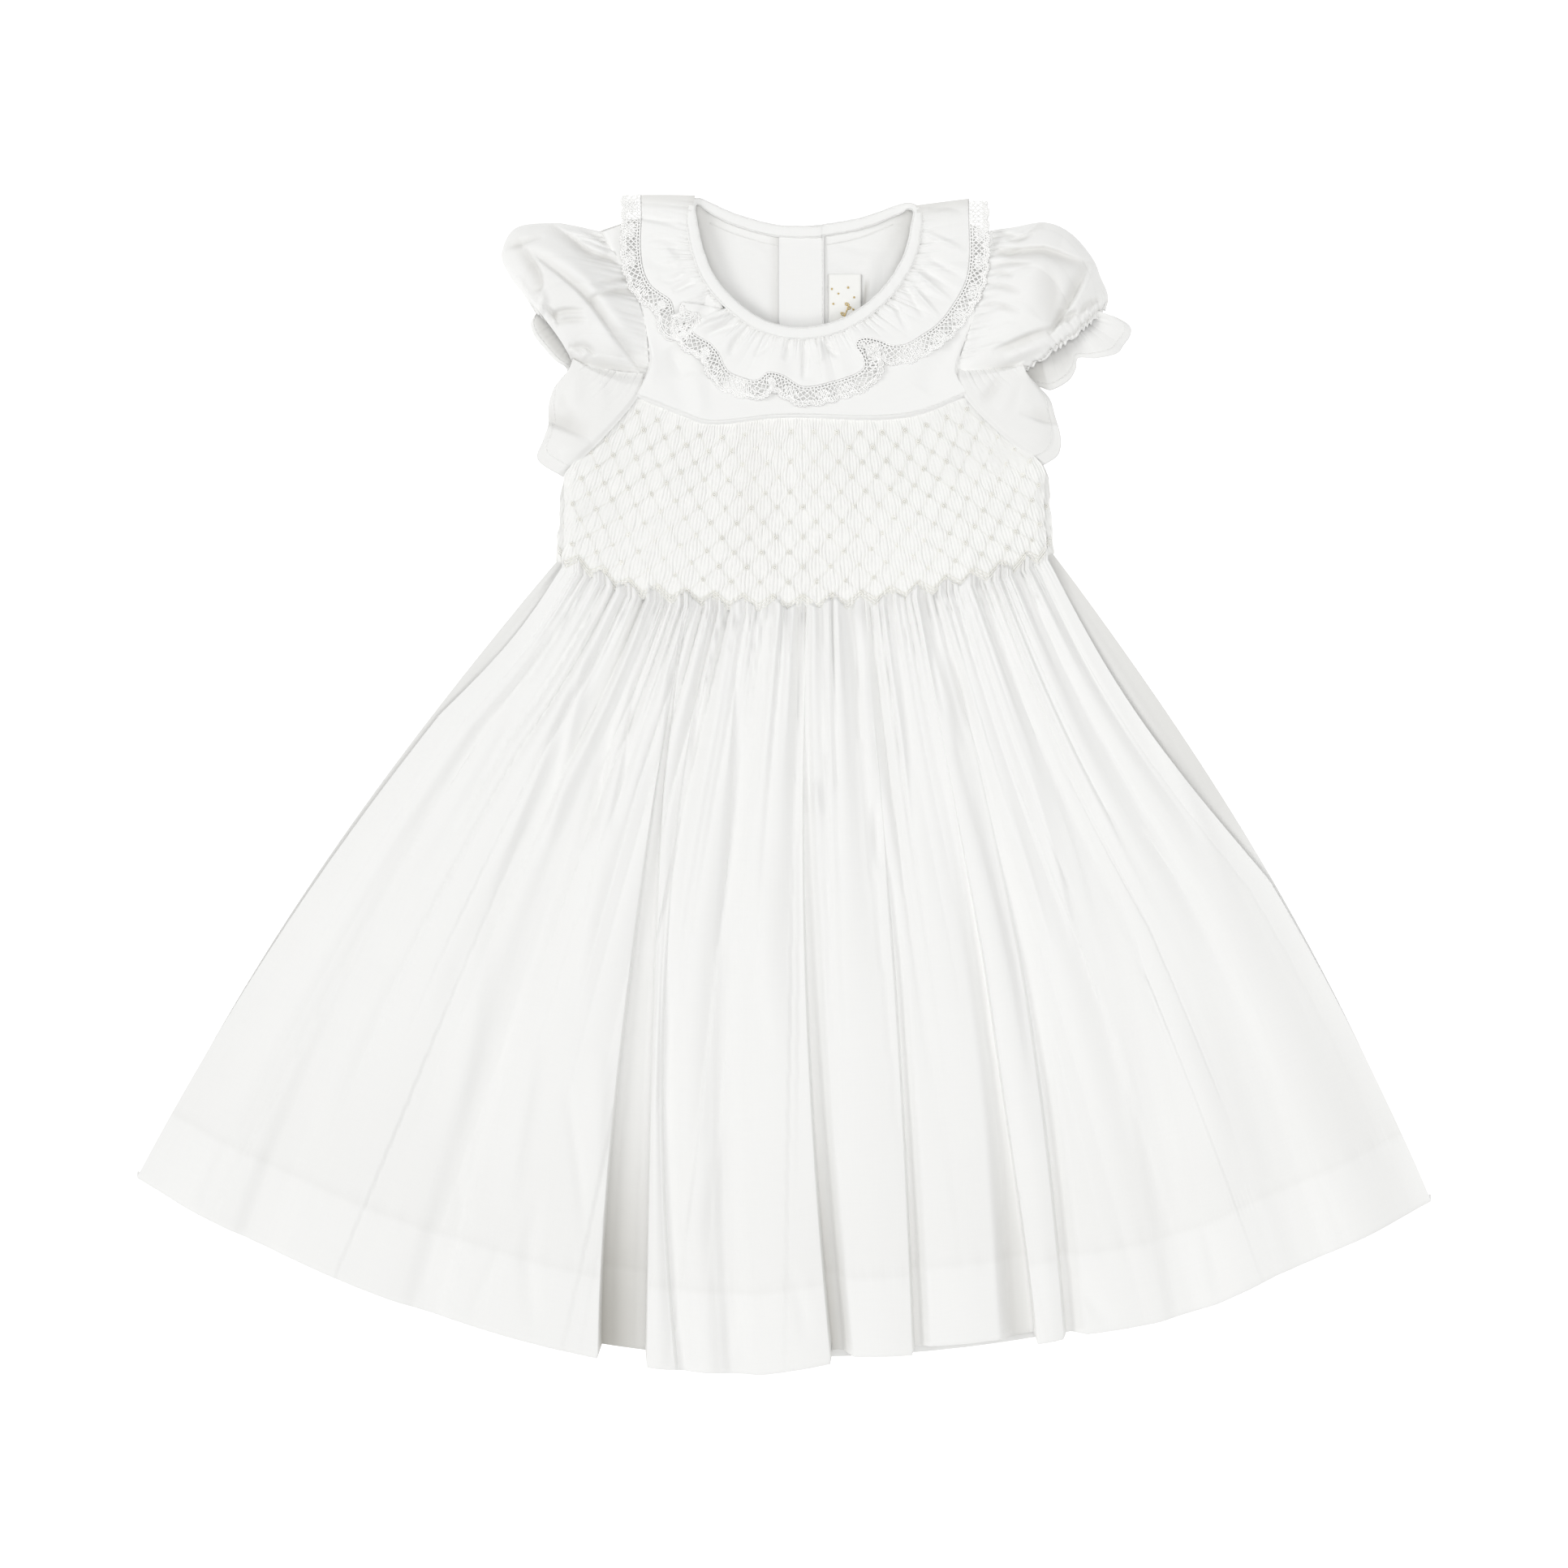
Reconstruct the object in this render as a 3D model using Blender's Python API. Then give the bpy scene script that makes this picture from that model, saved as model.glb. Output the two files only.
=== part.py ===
"""Toddler's dress in white cotton lawn, with a smocked bodice, puff sleeves and a lace collar.

The dress lies on its back on a flat surface, its panels on each other. +Z is up from the surface,
+Y runs towards the neck and +X to the right of someone who looks down on the front. The origin is
on the surface, under the middle of the dress. The tables below are in millimetres.
"""

import math

import bmesh
import bpy
from mathutils import Vector

MM = 0.001

# Cloth and the gaps between pieces
CLOTH = 1.1
SEAM = 0.3
HEM_TURN = 0.7

# Heights of the layers above the surface
BACK_TOP = 1.2
BACK_SMOCK_TOP = 2.6
BACK_YOKE = 2.4
INNER_STRIP = 3.9
FRONT_SMOCK = 3.0
FRONT_SMOCK_TOP = 5.7
YOKE_EDGE_TOP = 6.5
YOKE_NECK_TOP = 7.5
YOKE_SHOULDER_TOP = 4.9
RUFFLE_NECK_TOP = 9.2

# Skirt: the hem is an arc, and folds grow from the smocking to the hem
HEM_RADIUS = 553.0
HEM_HALF_WIDTH = 278.6
HEM_LEFT_Y = -169.5
HEM_RIGHT_Y = -179.5
FOLD_AT_WAIST = 1.2
FOLD_AT_HEM = 8.6
SIDE_ROLL = 0.07
BACK_SIDE_BULGE = 13.0
FRONT_SIDE_BULGE = (9.0, 2.5)

# Sleeves
PUFF_RIM = 1.6
PUFF_RIM_INSIDE = 0.5
PUFF_THICKER = 0.4
FRILL_TOP = 6.4
FRILL_FOOT = 5.0
FRILL_SWELL = 1.6

# Collar
LACE_WIDTH = 8.4
LACE_THICK = 1.0
LACE_DROOP = 0.6
RUFFLE_SWELL = 1.2
BINDING_THICK = 3.0

# Buttons
BUTTON_RADIUS = 4.8
BUTTON_THICK = 1.9
BUTTON_X = 7.0
BUTTON_ROWS_Y = (224.0, 198.0, 172.0)

WHITE_LAWN = (0.87, 0.87, 0.85, 1.0)
SMOCKED_LAWN = (0.86, 0.86, 0.83, 1.0)
COTTON_LACE = (0.84, 0.83, 0.79, 1.0)
WOVEN_LABEL = (0.88, 0.88, 0.87, 1.0)
SHELL_BUTTON = (0.85, 0.83, 0.79, 1.0)


def between(low, high, share):
    return low + (high - low) * share


def ease(share):
    share = min(max(share, 0.0), 1.0)
    return share * share * (3 - 2 * share)


def curve_through(points, count):
    """Evenly spaced points on one smooth curve through the given ones."""
    steps = 12
    knots = [Vector(point) for point in points]
    last = len(knots) - 1
    dense = []
    for index in range(last):
        before, start = knots[max(index - 1, 0)], knots[index]
        end, after = knots[index + 1], knots[min(index + 2, last)]
        for step in range(steps):
            t = step / steps
            linear = (end - before) * t
            square = (2 * before - 5 * start + 4 * end - after) * t * t
            cube = (3 * start - before - 3 * end + after) * t**3
            dense.append(start + (linear + square + cube) * 0.5)
    dense.append(knots[last])
    travel = [0.0]
    for first, second in zip(dense, dense[1:]):
        travel.append(travel[-1] + (second - first).length)
    result = []
    index = 0
    for number in range(count):
        wanted = travel[-1] * number / (count - 1)
        while index < len(travel) - 2 and travel[index + 1] < wanted:
            index += 1
        share = (wanted - travel[index]) / (travel[index + 1] - travel[index])
        result.append(dense[index].lerp(dense[index + 1], share))
    return result


def cloth_material(name, colour, roughness):
    material = bpy.data.materials.new(name)
    material.use_nodes = True
    shader = material.node_tree.nodes["Principled BSDF"]
    shader.inputs["Base Color"].default_value = colour
    shader.inputs["Roughness"].default_value = roughness
    shader.inputs["Metallic"].default_value = 0.0
    return material


def add_piece(name, points, faces, colour, roughness=0.85):
    """One closed piece from points in millimetres."""
    mesh = bpy.data.meshes.new(name)
    mesh.from_pydata([tuple(Vector(point) * MM) for point in points], [], faces)
    shape = bmesh.new()
    shape.from_mesh(mesh)
    bmesh.ops.recalc_face_normals(shape, faces=shape.faces)
    bmesh.ops.triangulate(shape, faces=shape.faces)
    shape.to_mesh(mesh)
    shape.free()
    mesh.materials.append(cloth_material(name, colour, roughness))
    mesh.shade_smooth()
    mesh.set_sharp_from_angle(angle=math.radians(50))
    piece = bpy.data.objects.new(name, mesh)
    bpy.context.collection.objects.link(piece)
    return piece


def add_wall(name, upper, lower, colour, closed=False):
    """A wall of cloth between two like grids; closed joins each row's ends into a ring."""
    rows, columns = len(upper), len(upper[0])
    points = [point for grid in (upper, lower) for row in grid for point in row]
    under = rows * columns
    faces = []
    spans = columns if closed else columns - 1
    for row in range(rows - 1):
        for column in range(spans):
            a = row * columns + column
            b = row * columns + (column + 1) % columns
            faces.append((a, b, b + columns, a + columns))
            faces.append((under + a, under + a + columns, under + b + columns, under + b))
    for row in (0, rows - 1):
        for column in range(spans):
            a = row * columns + column
            b = row * columns + (column + 1) % columns
            faces.append((a, under + a, under + b, b))
    if not closed:
        for column in (0, columns - 1):
            for row in range(rows - 1):
                a = row * columns + column
                faces.append((a, a + columns, under + a + columns, under + a))
    return add_piece(name, points, faces, colour)


def lowered(grid, thickness):
    return [[point - Vector((0, 0, thickness)) for point in row] for row in grid]


def laid_at(point, height):
    return Vector((point[0], point[1], height))


def patch(top, bottom, left, right):
    """A grid that fills four boundary curves; top and bottom run left to right, the sides run down."""
    rows, columns = len(left), len(top)
    grid = []
    for r in range(rows):
        t = r / (rows - 1)
        row = []
        for c in range(columns):
            s = c / (columns - 1)
            across = left[r].lerp(right[r], s)
            down = top[c].lerp(bottom[c], t)
            corners = top[0].lerp(top[-1], s).lerp(bottom[0].lerp(bottom[-1], s), t)
            row.append(across + down - corners)
        grid.append(row)
    return grid


def ruled(inner, outer, steps):
    """Rows of points that step from an inner edge to an outer edge."""
    return [[a.lerp(b, step / steps) for a, b in zip(inner, outer)] for step in range(steps + 1)]


# Outline of the panels, seen from above -------------------------------------------------------

LEFT_ARMHOLE = (
    (-78.0, 237.5), (-71.8, 224.9), (-64.8, 213.0), (-58.1, 189.5), (-57.4, 180.0), (-63.7, 166.8)
)
RIGHT_ARMHOLE = (
    (89.4, 237.5), (89.0, 226.0), (84.6, 207.0), (76.8, 188.5), (73.8, 177.5), (79.1, 167.8)
)
YOKE_SEAM = (
    (-63.7, 166.8), (-44.1, 159.1), (-30.0, 155.2), (0.0, 158.0),
    (39.2, 157.3), (59.1, 159.8), (79.1, 167.8),
)
FRONT_LEFT_SIDE = ((-63.7, 166.8), (-80.0, 148.0), (-93.8, 134.0), (-94.6, 115.0), (-95.6, 93.2))
FRONT_RIGHT_SIDE = ((79.1, 167.8), (95.0, 151.4), (111.2, 137.0), (111.8, 120.0), (113.6, 96.4))
BACK_LEFT_SIDE = ((-63.7, 166.8), (-80.0, 148.0), (-94.5, 132.0), (-96.9, 114.0), (-98.6, 96.0))
BACK_RIGHT_SIDE = ((79.1, 167.8), (95.0, 151.4), (112.0, 137.0), (114.8, 120.5), (116.5, 99.4))
FRONT_WAIST = (
    (-95.6, 93.2), (-80.1, 87.3), (-62.0, 79.6), (-12.2, 74.0), (36.8, 76.1), (88.2, 87.0), (113.6, 96.4)
)
BACK_WAIST = (
    (-98.6, 96.0), (-80.1, 89.3), (-62.0, 81.6), (-12.2, 75.6), (36.8, 77.8), (88.2, 89.4), (116.5, 99.4)
)
SHOULDER_LEFT = (-42.6, 250.0)
SHOULDER_RIGHT = (60.6, 247.0)
NECK_LEFT = (SHOULDER_LEFT, (-42.9, 240.0), (-39.6, 225.6), (-35.2, 214.2), (-27.1, 204.2))
NECK_FRONT = (
    (-27.1, 204.2), (-18.8, 197.0), (-8.9, 192.1), (5.5, 190.2), (22.6, 192.4), (32.6, 197.1), (46.2, 207.0)
)
NECK_RIGHT = ((46.2, 207.0), (56.2, 221.0), (59.7, 234.0), SHOULDER_RIGHT)


def flat_curve(points, count):
    return curve_through([(point[0], point[1], 0.0) for point in points], count)


# Skirt ------------------------------------------------------------------------------------------

# Each row is one fold: its place across the cloth at the waist and at the hem, the width of its
# trough at the hem, how far it reaches down to the back, and where it starts down the skirt. The
# last three are how far the hem hangs below its arc just left of the trough, in it, and right of it.
SKIRT_FOLDS = [
    {"waist": 0.045, "hem": 0.100, "width": 10, "depth": 0.45, "starts": 0.00, "drops": (-1.0, -1.0, -1.0)},
    {"waist": 0.200, "hem": 0.235, "width": 9, "depth": 0.50, "starts": 0.05, "drops": (0.5, 0.5, 0.5)},
    {"waist": 0.273, "hem": 0.379, "width": 20, "depth": 1.00, "starts": 0.08, "drops": (3.4, -2.2, 4.2)},
    {"waist": 0.315, "hem": 0.424, "width": 5, "depth": 0.45, "starts": 0.05, "drops": (4.0, 4.0, 4.0)},
    {"waist": 0.385, "hem": 0.465, "width": 5, "depth": 0.35, "starts": 0.02, "drops": (3.6, 3.6, 3.6)},
    {"waist": 0.506, "hem": 0.542, "width": 7, "depth": 1.00, "starts": 0.04, "drops": (-1.4, -6.5, -4.1)},
    {"waist": 0.625, "hem": 0.598, "width": 5, "depth": 0.80, "starts": 0.20, "drops": (-3.4, -6.5, -6.5)},
    {"waist": 0.722, "hem": 0.678, "width": 9, "depth": 0.90, "starts": 0.15, "drops": (-5.7, -5.7, -1.0)},
    {"waist": 0.775, "hem": 0.711, "width": 6, "depth": 0.80, "starts": 0.20, "drops": (-0.9, -3.0, -0.9)},
    {"waist": 0.865, "hem": 0.800, "width": 9, "depth": 0.40, "starts": 0.10, "drops": (1.8, 1.8, 1.8)},
    {"waist": 0.940, "hem": 0.900, "width": 10, "depth": 0.40, "starts": 0.05, "drops": (-1.2, -1.2, -1.2)},
]
LIP = 1.3
LIP_HEIGHT = 0.86
PANEL_STEPS = 3
FRONT_DOWNS = (0.0, 0.06, 0.16, 0.3, 0.5, 0.7, 0.86, 0.87, 1.0)
BACK_DOWNS = (0.0, 0.15, 0.35, 0.6, 1.0)
HEM_TURNS_AT = 0.865
BACK_COLUMNS = 25
WAIST_POINTS = 41
BACK_DROP = -3.0
MOST_DEPTH = 3.8


def hem_point(share, drop=0.0):
    widest = math.asin(HEM_HALF_WIDTH / HEM_RADIUS)
    angle = between(-widest, widest, share)
    sagitta = HEM_RADIUS * (math.cos(angle) - math.cos(widest))
    corner = between(HEM_LEFT_Y, HEM_RIGHT_Y, share)
    return Vector((HEM_RADIUS * math.sin(angle), corner - sagitta - drop, 0.0))


def side_bulge(share, down, left, right):
    """How far the skirt's side swells past the straight line, fading into the cloth."""
    swell = math.sin(math.pi * down) ** 0.9
    return swell * (right * share**6 - left * (1 - share) ** 6)


def skirt_point(waist, share, down, drop, bulges):
    along = share * (len(waist) - 1)
    first = min(int(along), len(waist) - 2)
    start = waist[first].lerp(waist[first + 1], along - first) - Vector((0, SEAM, 0))
    point = start.lerp(hem_point(share, drop), down)
    point.x += side_bulge(share, down, *bulges)
    return point


def skirt_columns(down):
    """(share across, height 0 to 1, hem drop) of each column, with four on each fold's trough."""
    width = between(215.0, 2 * HEM_HALF_WIDTH, down)
    lip = LIP / width
    columns = []
    start, start_drop = 0.0, 0.0
    for fold in SKIRT_FOLDS:
        centre = between(fold["waist"], fold["hem"], down)
        opening = ease((down - fold["starts"]) / (1 - fold["starts"]))
        half = between(0.8, fold["width"] / 2, opening) / width
        floor = LIP_HEIGHT * (1 - fold["depth"] * between(0.35, 1.0, opening))
        before, within, after = fold["drops"]
        columns += panel_columns(start, centre - half - lip, start_drop, before)
        columns.append((centre - half, floor, within))
        columns.append((centre + half, floor, within))
        start, start_drop = centre + half + lip, after
    return columns + panel_columns(start, 1.0, start_drop, 0.0)


def panel_columns(start, end, start_drop, end_drop):
    columns = []
    for step in range(PANEL_STEPS + 1):
        share = step / PANEL_STEPS
        crown = LIP_HEIGHT + (1 - LIP_HEIGHT) * math.sin(math.pi * share)
        columns.append((between(start, end, share), crown, between(start_drop, end_drop, share)))
    return columns


def steepest(row, index):
    """The slope of the cloth from this point to its steeper neighbour in the row."""
    slopes = [0.0]
    for other in row[max(index - 1, 0) : index] + row[index + 1 : index + 2]:
        across = math.hypot(other.x - row[index].x, other.y - row[index].y)
        slopes.append(abs(other.z - row[index].z) / max(across, 0.2))
    return max(slopes)


def make_skirt_front():
    waist = flat_curve(FRONT_WAIST, WAIST_POINTS)
    lowest = BACK_TOP + SEAM
    upper, lower = [], []
    for down in FRONT_DOWNS:
        rise = between(FOLD_AT_WAIST, FOLD_AT_HEM, down**0.8)
        row = []
        for share, height, drop in skirt_columns(down):
            point = skirt_point(waist, share, down, drop, FRONT_SIDE_BULGE)
            roll = ease(share / SIDE_ROLL) * ease((1 - share) / SIDE_ROLL)
            point.z = lowest + CLOTH + rise * height * roll
            row.append(point)
        upper.append(row)
        thickness = CLOTH + (HEM_TURN if down > HEM_TURNS_AT else 0.0)
        under = []
        for index, point in enumerate(row):
            depth = min(thickness * math.hypot(1, steepest(row, index)), MOST_DEPTH)
            under.append(laid_at(point, max(point.z - depth, lowest)))
        lower.append(under)
    add_wall("skirt_front", upper, lower, WHITE_LAWN)


def make_skirt_back():
    waist = flat_curve(BACK_WAIST, WAIST_POINTS)
    bulges = (FRONT_SIDE_BULGE[0] + 3.0, BACK_SIDE_BULGE)
    rows = []
    for down in BACK_DOWNS:
        row = []
        for column in range(BACK_COLUMNS):
            share = column / (BACK_COLUMNS - 1)
            drop = BACK_DROP * math.sin(math.pi * share)
            row.append(laid_at(skirt_point(waist, share, down, drop, bulges), BACK_TOP))
        rows.append(row)
    add_wall("skirt_back", rows, lowered(rows, BACK_TOP), WHITE_LAWN)


# Smocked bodice ---------------------------------------------------------------------------------


def make_smocking():
    columns, rows = 19, 7
    shapes = (
        ("smocking_front", FRONT_LEFT_SIDE, FRONT_RIGHT_SIDE, FRONT_WAIST, FRONT_SMOCK, FRONT_SMOCK_TOP),
        ("smocking_back", BACK_LEFT_SIDE, BACK_RIGHT_SIDE, BACK_WAIST, 0.0, BACK_SMOCK_TOP),
    )
    for name, left, right, waist, low, high in shapes:
        seam = [point - Vector((0, SEAM, 0)) for point in flat_curve(YOKE_SEAM, columns)]
        sides = [flat_curve(left, rows), flat_curve(right, rows)]
        sides[0][0], sides[1][0] = seam[0], seam[-1]
        flat = patch(seam, flat_curve(waist, columns), sides[0], sides[1])
        upper = [[laid_at(point, high) for point in row] for row in flat]
        add_wall(name, upper, lowered(upper, high - low), SMOCKED_LAWN)


# Yoke -------------------------------------------------------------------------------------------


def make_front_yoke():
    """A horseshoe round the front of the neck, from one shoulder to the other."""
    counts = (7, 13, 7)
    neck, edge = [], []
    sides = (LEFT_ARMHOLE, YOKE_SEAM, tuple(reversed(RIGHT_ARMHOLE)))
    for count, inner, outer in zip(counts, (NECK_LEFT, NECK_FRONT, NECK_RIGHT), sides):
        first = 1 if neck else 0
        neck += flat_curve(inner, count)[first:]
        edge += flat_curve(outer, count)[first:]
    grid = []
    steps = 5
    for step, row in enumerate(ruled(neck, edge, steps)):
        height = between(YOKE_NECK_TOP, YOKE_EDGE_TOP, ease(step / steps))
        laid = []
        for index, point in enumerate(row):
            shoulder = ease(min(index, len(row) - 1 - index) / 3)
            laid.append(laid_at(point, between(YOKE_SHOULDER_TOP, height, shoulder)))
        grid.append(laid)
    add_wall("yoke_front", grid, lowered(grid, CLOTH), WHITE_LAWN)


# The back yoke is in two halves, and its placket laps them down the middle of the back.
PLACKET_LEFT = -2.5
PLACKET_RIGHT = 17.9
PLACKET_TOP = 233.8
PLACKET_FOOT = 159.2
LABEL_SIDES = (18.9, 33.6)
LABEL_ENDS = (219.2, 188.0)
BACK_NECK_LEFT = ((-77.6, 237.2), (-43.0, 245.4), (-35.0, 243.6), (-20.0, 237.6), (-3.4, 234.4))
BACK_NECK_RIGHT = ((18.2, 233.8), (32.5, 236.6), (50.0, 242.8), (60.0, 243.6), (89.0, 237.2))


BACK_FOOT_LEFT = ((-63.5, 167.4), (-44.1, 160.0), (-30.0, 156.4), (-3.4, 158.6))
BACK_FOOT_RIGHT = ((18.2, 159.0), (39.2, 158.2), (59.1, 160.7), (79.0, 168.6))


def make_back_yoke():
    columns, rows = 8, 6
    left_top, left_foot = flat_curve(BACK_NECK_LEFT, columns), flat_curve(BACK_FOOT_LEFT, columns)
    right_top, right_foot = flat_curve(BACK_NECK_RIGHT, columns), flat_curve(BACK_FOOT_RIGHT, columns)
    left_arm = flat_curve((left_top[0], *LEFT_ARMHOLE[1:-1], left_foot[0]), rows)
    right_arm = flat_curve((right_top[-1], *RIGHT_ARMHOLE[1:-1], right_foot[-1]), rows)
    left_middle = flat_curve((left_top[-1], left_foot[-1]), rows)
    right_middle = flat_curve((right_top[0], right_foot[0]), rows)
    halves = {
        "left": patch(left_top, left_foot, left_arm, left_middle),
        "right": patch(right_top, right_foot, right_middle, right_arm),
    }
    for side, half in halves.items():
        upper = [[laid_at(point, BACK_YOKE + CLOTH) for point in row] for row in half]
        add_wall("yoke_back_" + side, upper, lowered(upper, CLOTH), WHITE_LAWN)


def add_strip(name, sides, ends, base, colour):
    """A flat strip between two sides, from its top end to its foot."""
    heights = [between(ends[0], ends[1], step / 3) for step in range(4)]
    upper = [[Vector((side, height, base + CLOTH)) for side in sides] for height in heights]
    add_wall(name, upper, lowered(upper, CLOTH), colour)


def make_placket_and_label():
    ends = (PLACKET_TOP, PLACKET_FOOT)
    add_strip("placket_under", (PLACKET_LEFT, PLACKET_RIGHT - 2.9), ends, BACK_YOKE, WHITE_LAWN)
    add_strip("placket_over", (PLACKET_LEFT, PLACKET_RIGHT - SEAM), ends, INNER_STRIP, WHITE_LAWN)
    add_strip("neck_label", LABEL_SIDES, LABEL_ENDS, INNER_STRIP, WOVEN_LABEL)


def make_buttons():
    sides = 14
    edge = 0.5
    rings = (
        (BUTTON_RADIUS - edge, 0.0),
        (BUTTON_RADIUS, edge),
        (BUTTON_RADIUS, BUTTON_THICK - edge),
        (BUTTON_RADIUS - edge, BUTTON_THICK),
    )
    for number, row_y in enumerate(BUTTON_ROWS_Y, start=1):
        points = []
        for radius, height in rings:
            for side in range(sides):
                angle = 2 * math.pi * side / sides
                x = BUTTON_X + radius * math.cos(angle)
                points.append((x, row_y + radius * math.sin(angle), height))
        add_piece(f"button_{number}", points, rod_faces(len(rings), sides), SHELL_BUTTON, roughness=0.3)


def rod_faces(rings, sides):
    """Faces of a closed rod whose points come ring by ring."""
    faces = [tuple(range(sides)), tuple(range((rings - 1) * sides, rings * sides))]
    for ring in range(rings - 1):
        for side in range(sides):
            a = ring * sides + side
            b = ring * sides + (side + 1) % sides
            faces.append((a, b, b + sides, a + sides))
    return faces


# Neck binding -----------------------------------------------------------------------------------

# The bias band round the neck: its middle line, the height of that line and the band's width.
BINDING = [
    {"x": 13.6, "y": 237.5, "z": 4.2, "width": 5.4},
    {"x": -3.0, "y": 238.0, "z": 4.2, "width": 5.4},
    {"x": -21.0, "y": 242.8, "z": 4.2, "width": 5.2},
    {"x": -32.0, "y": 248.0, "z": 4.3, "width": 4.4},
    {"x": -36.4, "y": 250.4, "z": 5.2, "width": 3.2},
    {"x": -39.4, "y": 248.6, "z": 7.6, "width": 3.4},
    {"x": -39.6, "y": 241.0, "z": 8.6, "width": 5.0},
    {"x": -36.6, "y": 227.0, "z": 8.8, "width": 5.6},
    {"x": -30.6, "y": 214.4, "z": 8.8, "width": 5.6},
    {"x": -18.6, "y": 202.2, "z": 8.8, "width": 5.6},
    {"x": -5.6, "y": 195.2, "z": 8.8, "width": 5.6},
    {"x": 9.9, "y": 193.4, "z": 8.8, "width": 5.6},
    {"x": 27.4, "y": 198.0, "z": 8.8, "width": 5.6},
    {"x": 43.4, "y": 210.0, "z": 8.8, "width": 5.6},
    {"x": 53.6, "y": 225.6, "z": 8.8, "width": 5.6},
    {"x": 57.0, "y": 240.4, "z": 8.6, "width": 5.0},
    {"x": 56.8, "y": 246.4, "z": 7.6, "width": 3.4},
    {"x": 53.4, "y": 248.4, "z": 5.2, "width": 3.2},
    {"x": 48.6, "y": 246.8, "z": 4.3, "width": 4.4},
    {"x": 32.5, "y": 241.0, "z": 4.2, "width": 5.2},
    {"x": 14.4, "y": 237.4, "z": 4.2, "width": 5.4},
]


def make_binding():
    count, sides = 49, 8
    path = curve_through([(row["x"], row["y"], row["z"]) for row in BINDING], count)
    widths = [row["width"] for row in BINDING]
    rings = []
    for index, centre in enumerate(path):
        along = path[min(index + 1, count - 1)] - path[max(index - 1, 0)]
        aside = Vector((along.y, -along.x, 0)).normalized()
        upright = along.cross(aside).normalized()
        place = index / (count - 1) * (len(widths) - 1)
        first = min(int(place), len(widths) - 2)
        width = between(widths[first], widths[first + 1], place - first)
        ring = []
        for side in range(sides):
            angle = 2 * math.pi * (side + 0.5) / sides
            reach = aside * (math.cos(angle) * width / 2)
            ring.append(centre + reach + upright * (math.sin(angle) * BINDING_THICK / 2))
        rings.append(ring)
    points = [point for ring in rings for point in ring]
    add_piece("neck_binding", points, rod_faces(count, sides), WHITE_LAWN)


# Collar ruffle and its lace ---------------------------------------------------------------------

# Stations round the collar from the left shoulder to the right: where the ruffle leaves the
# binding, where its lace starts, and how high that edge stands.
COLLAR = [
    {"neck": (-43.4, 253.2), "edge": (-61.6, 253.0), "rise": 0.0},
    {"neck": (-43.8, 246.0), "edge": (-61.4, 241.7), "rise": 1.2},
    {"neck": (-43.2, 238.0), "edge": (-61.2, 231.0), "rise": 0.4},
    {"neck": (-41.6, 230.0), "edge": (-59.0, 220.0), "rise": 1.8},
    {"neck": (-39.0, 222.0), "edge": (-53.6, 211.4), "rise": 0.6},
    {"neck": (-35.4, 213.6), "edge": (-46.4, 203.4), "rise": 2.6},
    {"neck": (-31.4, 207.6), "edge": (-40.4, 195.0), "rise": 1.0},
    {"neck": (-26.2, 202.4), "edge": (-33.4, 186.4), "rise": 3.0},
    {"neck": (-20.6, 197.8), "edge": (-25.0, 180.6), "rise": 1.0},
    {"neck": (-13.8, 193.8), "edge": (-16.4, 177.0), "rise": 1.6},
    {"neck": (-6.4, 191.0), "edge": (-7.0, 175.2), "rise": 0.4},
    {"neck": (0.8, 189.6), "edge": (3.0, 173.6), "rise": 1.8},
    {"neck": (8.6, 189.4), "edge": (14.0, 173.4), "rise": 0.6},
    {"neck": (16.6, 190.4), "edge": (26.0, 177.0), "rise": 2.4},
    {"neck": (24.4, 192.4), "edge": (37.0, 182.4), "rise": 3.4},
    {"neck": (32.6, 196.2), "edge": (49.0, 188.2), "rise": 2.2},
    {"neck": (39.4, 200.4), "edge": (58.4, 192.0), "rise": 0.6},
    {"neck": (45.8, 205.8), "edge": (66.2, 197.4), "rise": 1.6},
    {"neck": (51.2, 212.6), "edge": (72.6, 205.6), "rise": 0.6},
    {"neck": (56.0, 220.6), "edge": (78.0, 215.6), "rise": 2.0},
    {"neck": (59.4, 229.6), "edge": (79.8, 226.4), "rise": 0.6},
    {"neck": (61.4, 239.2), "edge": (79.6, 238.6), "rise": 1.4},
    {"neck": (61.8, 249.4), "edge": (79.4, 251.4), "rise": 0.0},
]
RUFFLE_EDGE_TOP = 8.0


def collar_edges(count):
    neck = curve_through([(*row["neck"], RUFFLE_NECK_TOP) for row in COLLAR], count)
    edge = curve_through([(*row["edge"], RUFFLE_EDGE_TOP + row["rise"]) for row in COLLAR], count)
    return neck, edge


def outward_of(line, index):
    along = line[min(index + 1, len(line) - 1)] - line[max(index - 1, 0)]
    return Vector((along.y, -along.x, 0)).normalized()


def make_collar():
    count = 49
    neck, edge = collar_edges(count)
    steps = 3
    grid = []
    for step, row in enumerate(ruled(neck, edge, steps)):
        share = step / steps
        swell = RUFFLE_SWELL * math.sin(math.pi * share)
        grid.append([point + Vector((0, 0, swell)) for point in row])
    add_wall("collar_ruffle", grid, lowered(grid, CLOTH), WHITE_LAWN)

    inner, outer = [], []
    for index, point in enumerate(edge):
        away = outward_of(edge, index)
        inner.append(point + away * SEAM)
        outer.append(point + away * (SEAM + LACE_WIDTH) - Vector((0, 0, LACE_DROOP)))
    lace = ruled(inner, outer, 2)
    add_wall("collar_lace", lace, lowered(lace, LACE_THICK), COTTON_LACE)


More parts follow.
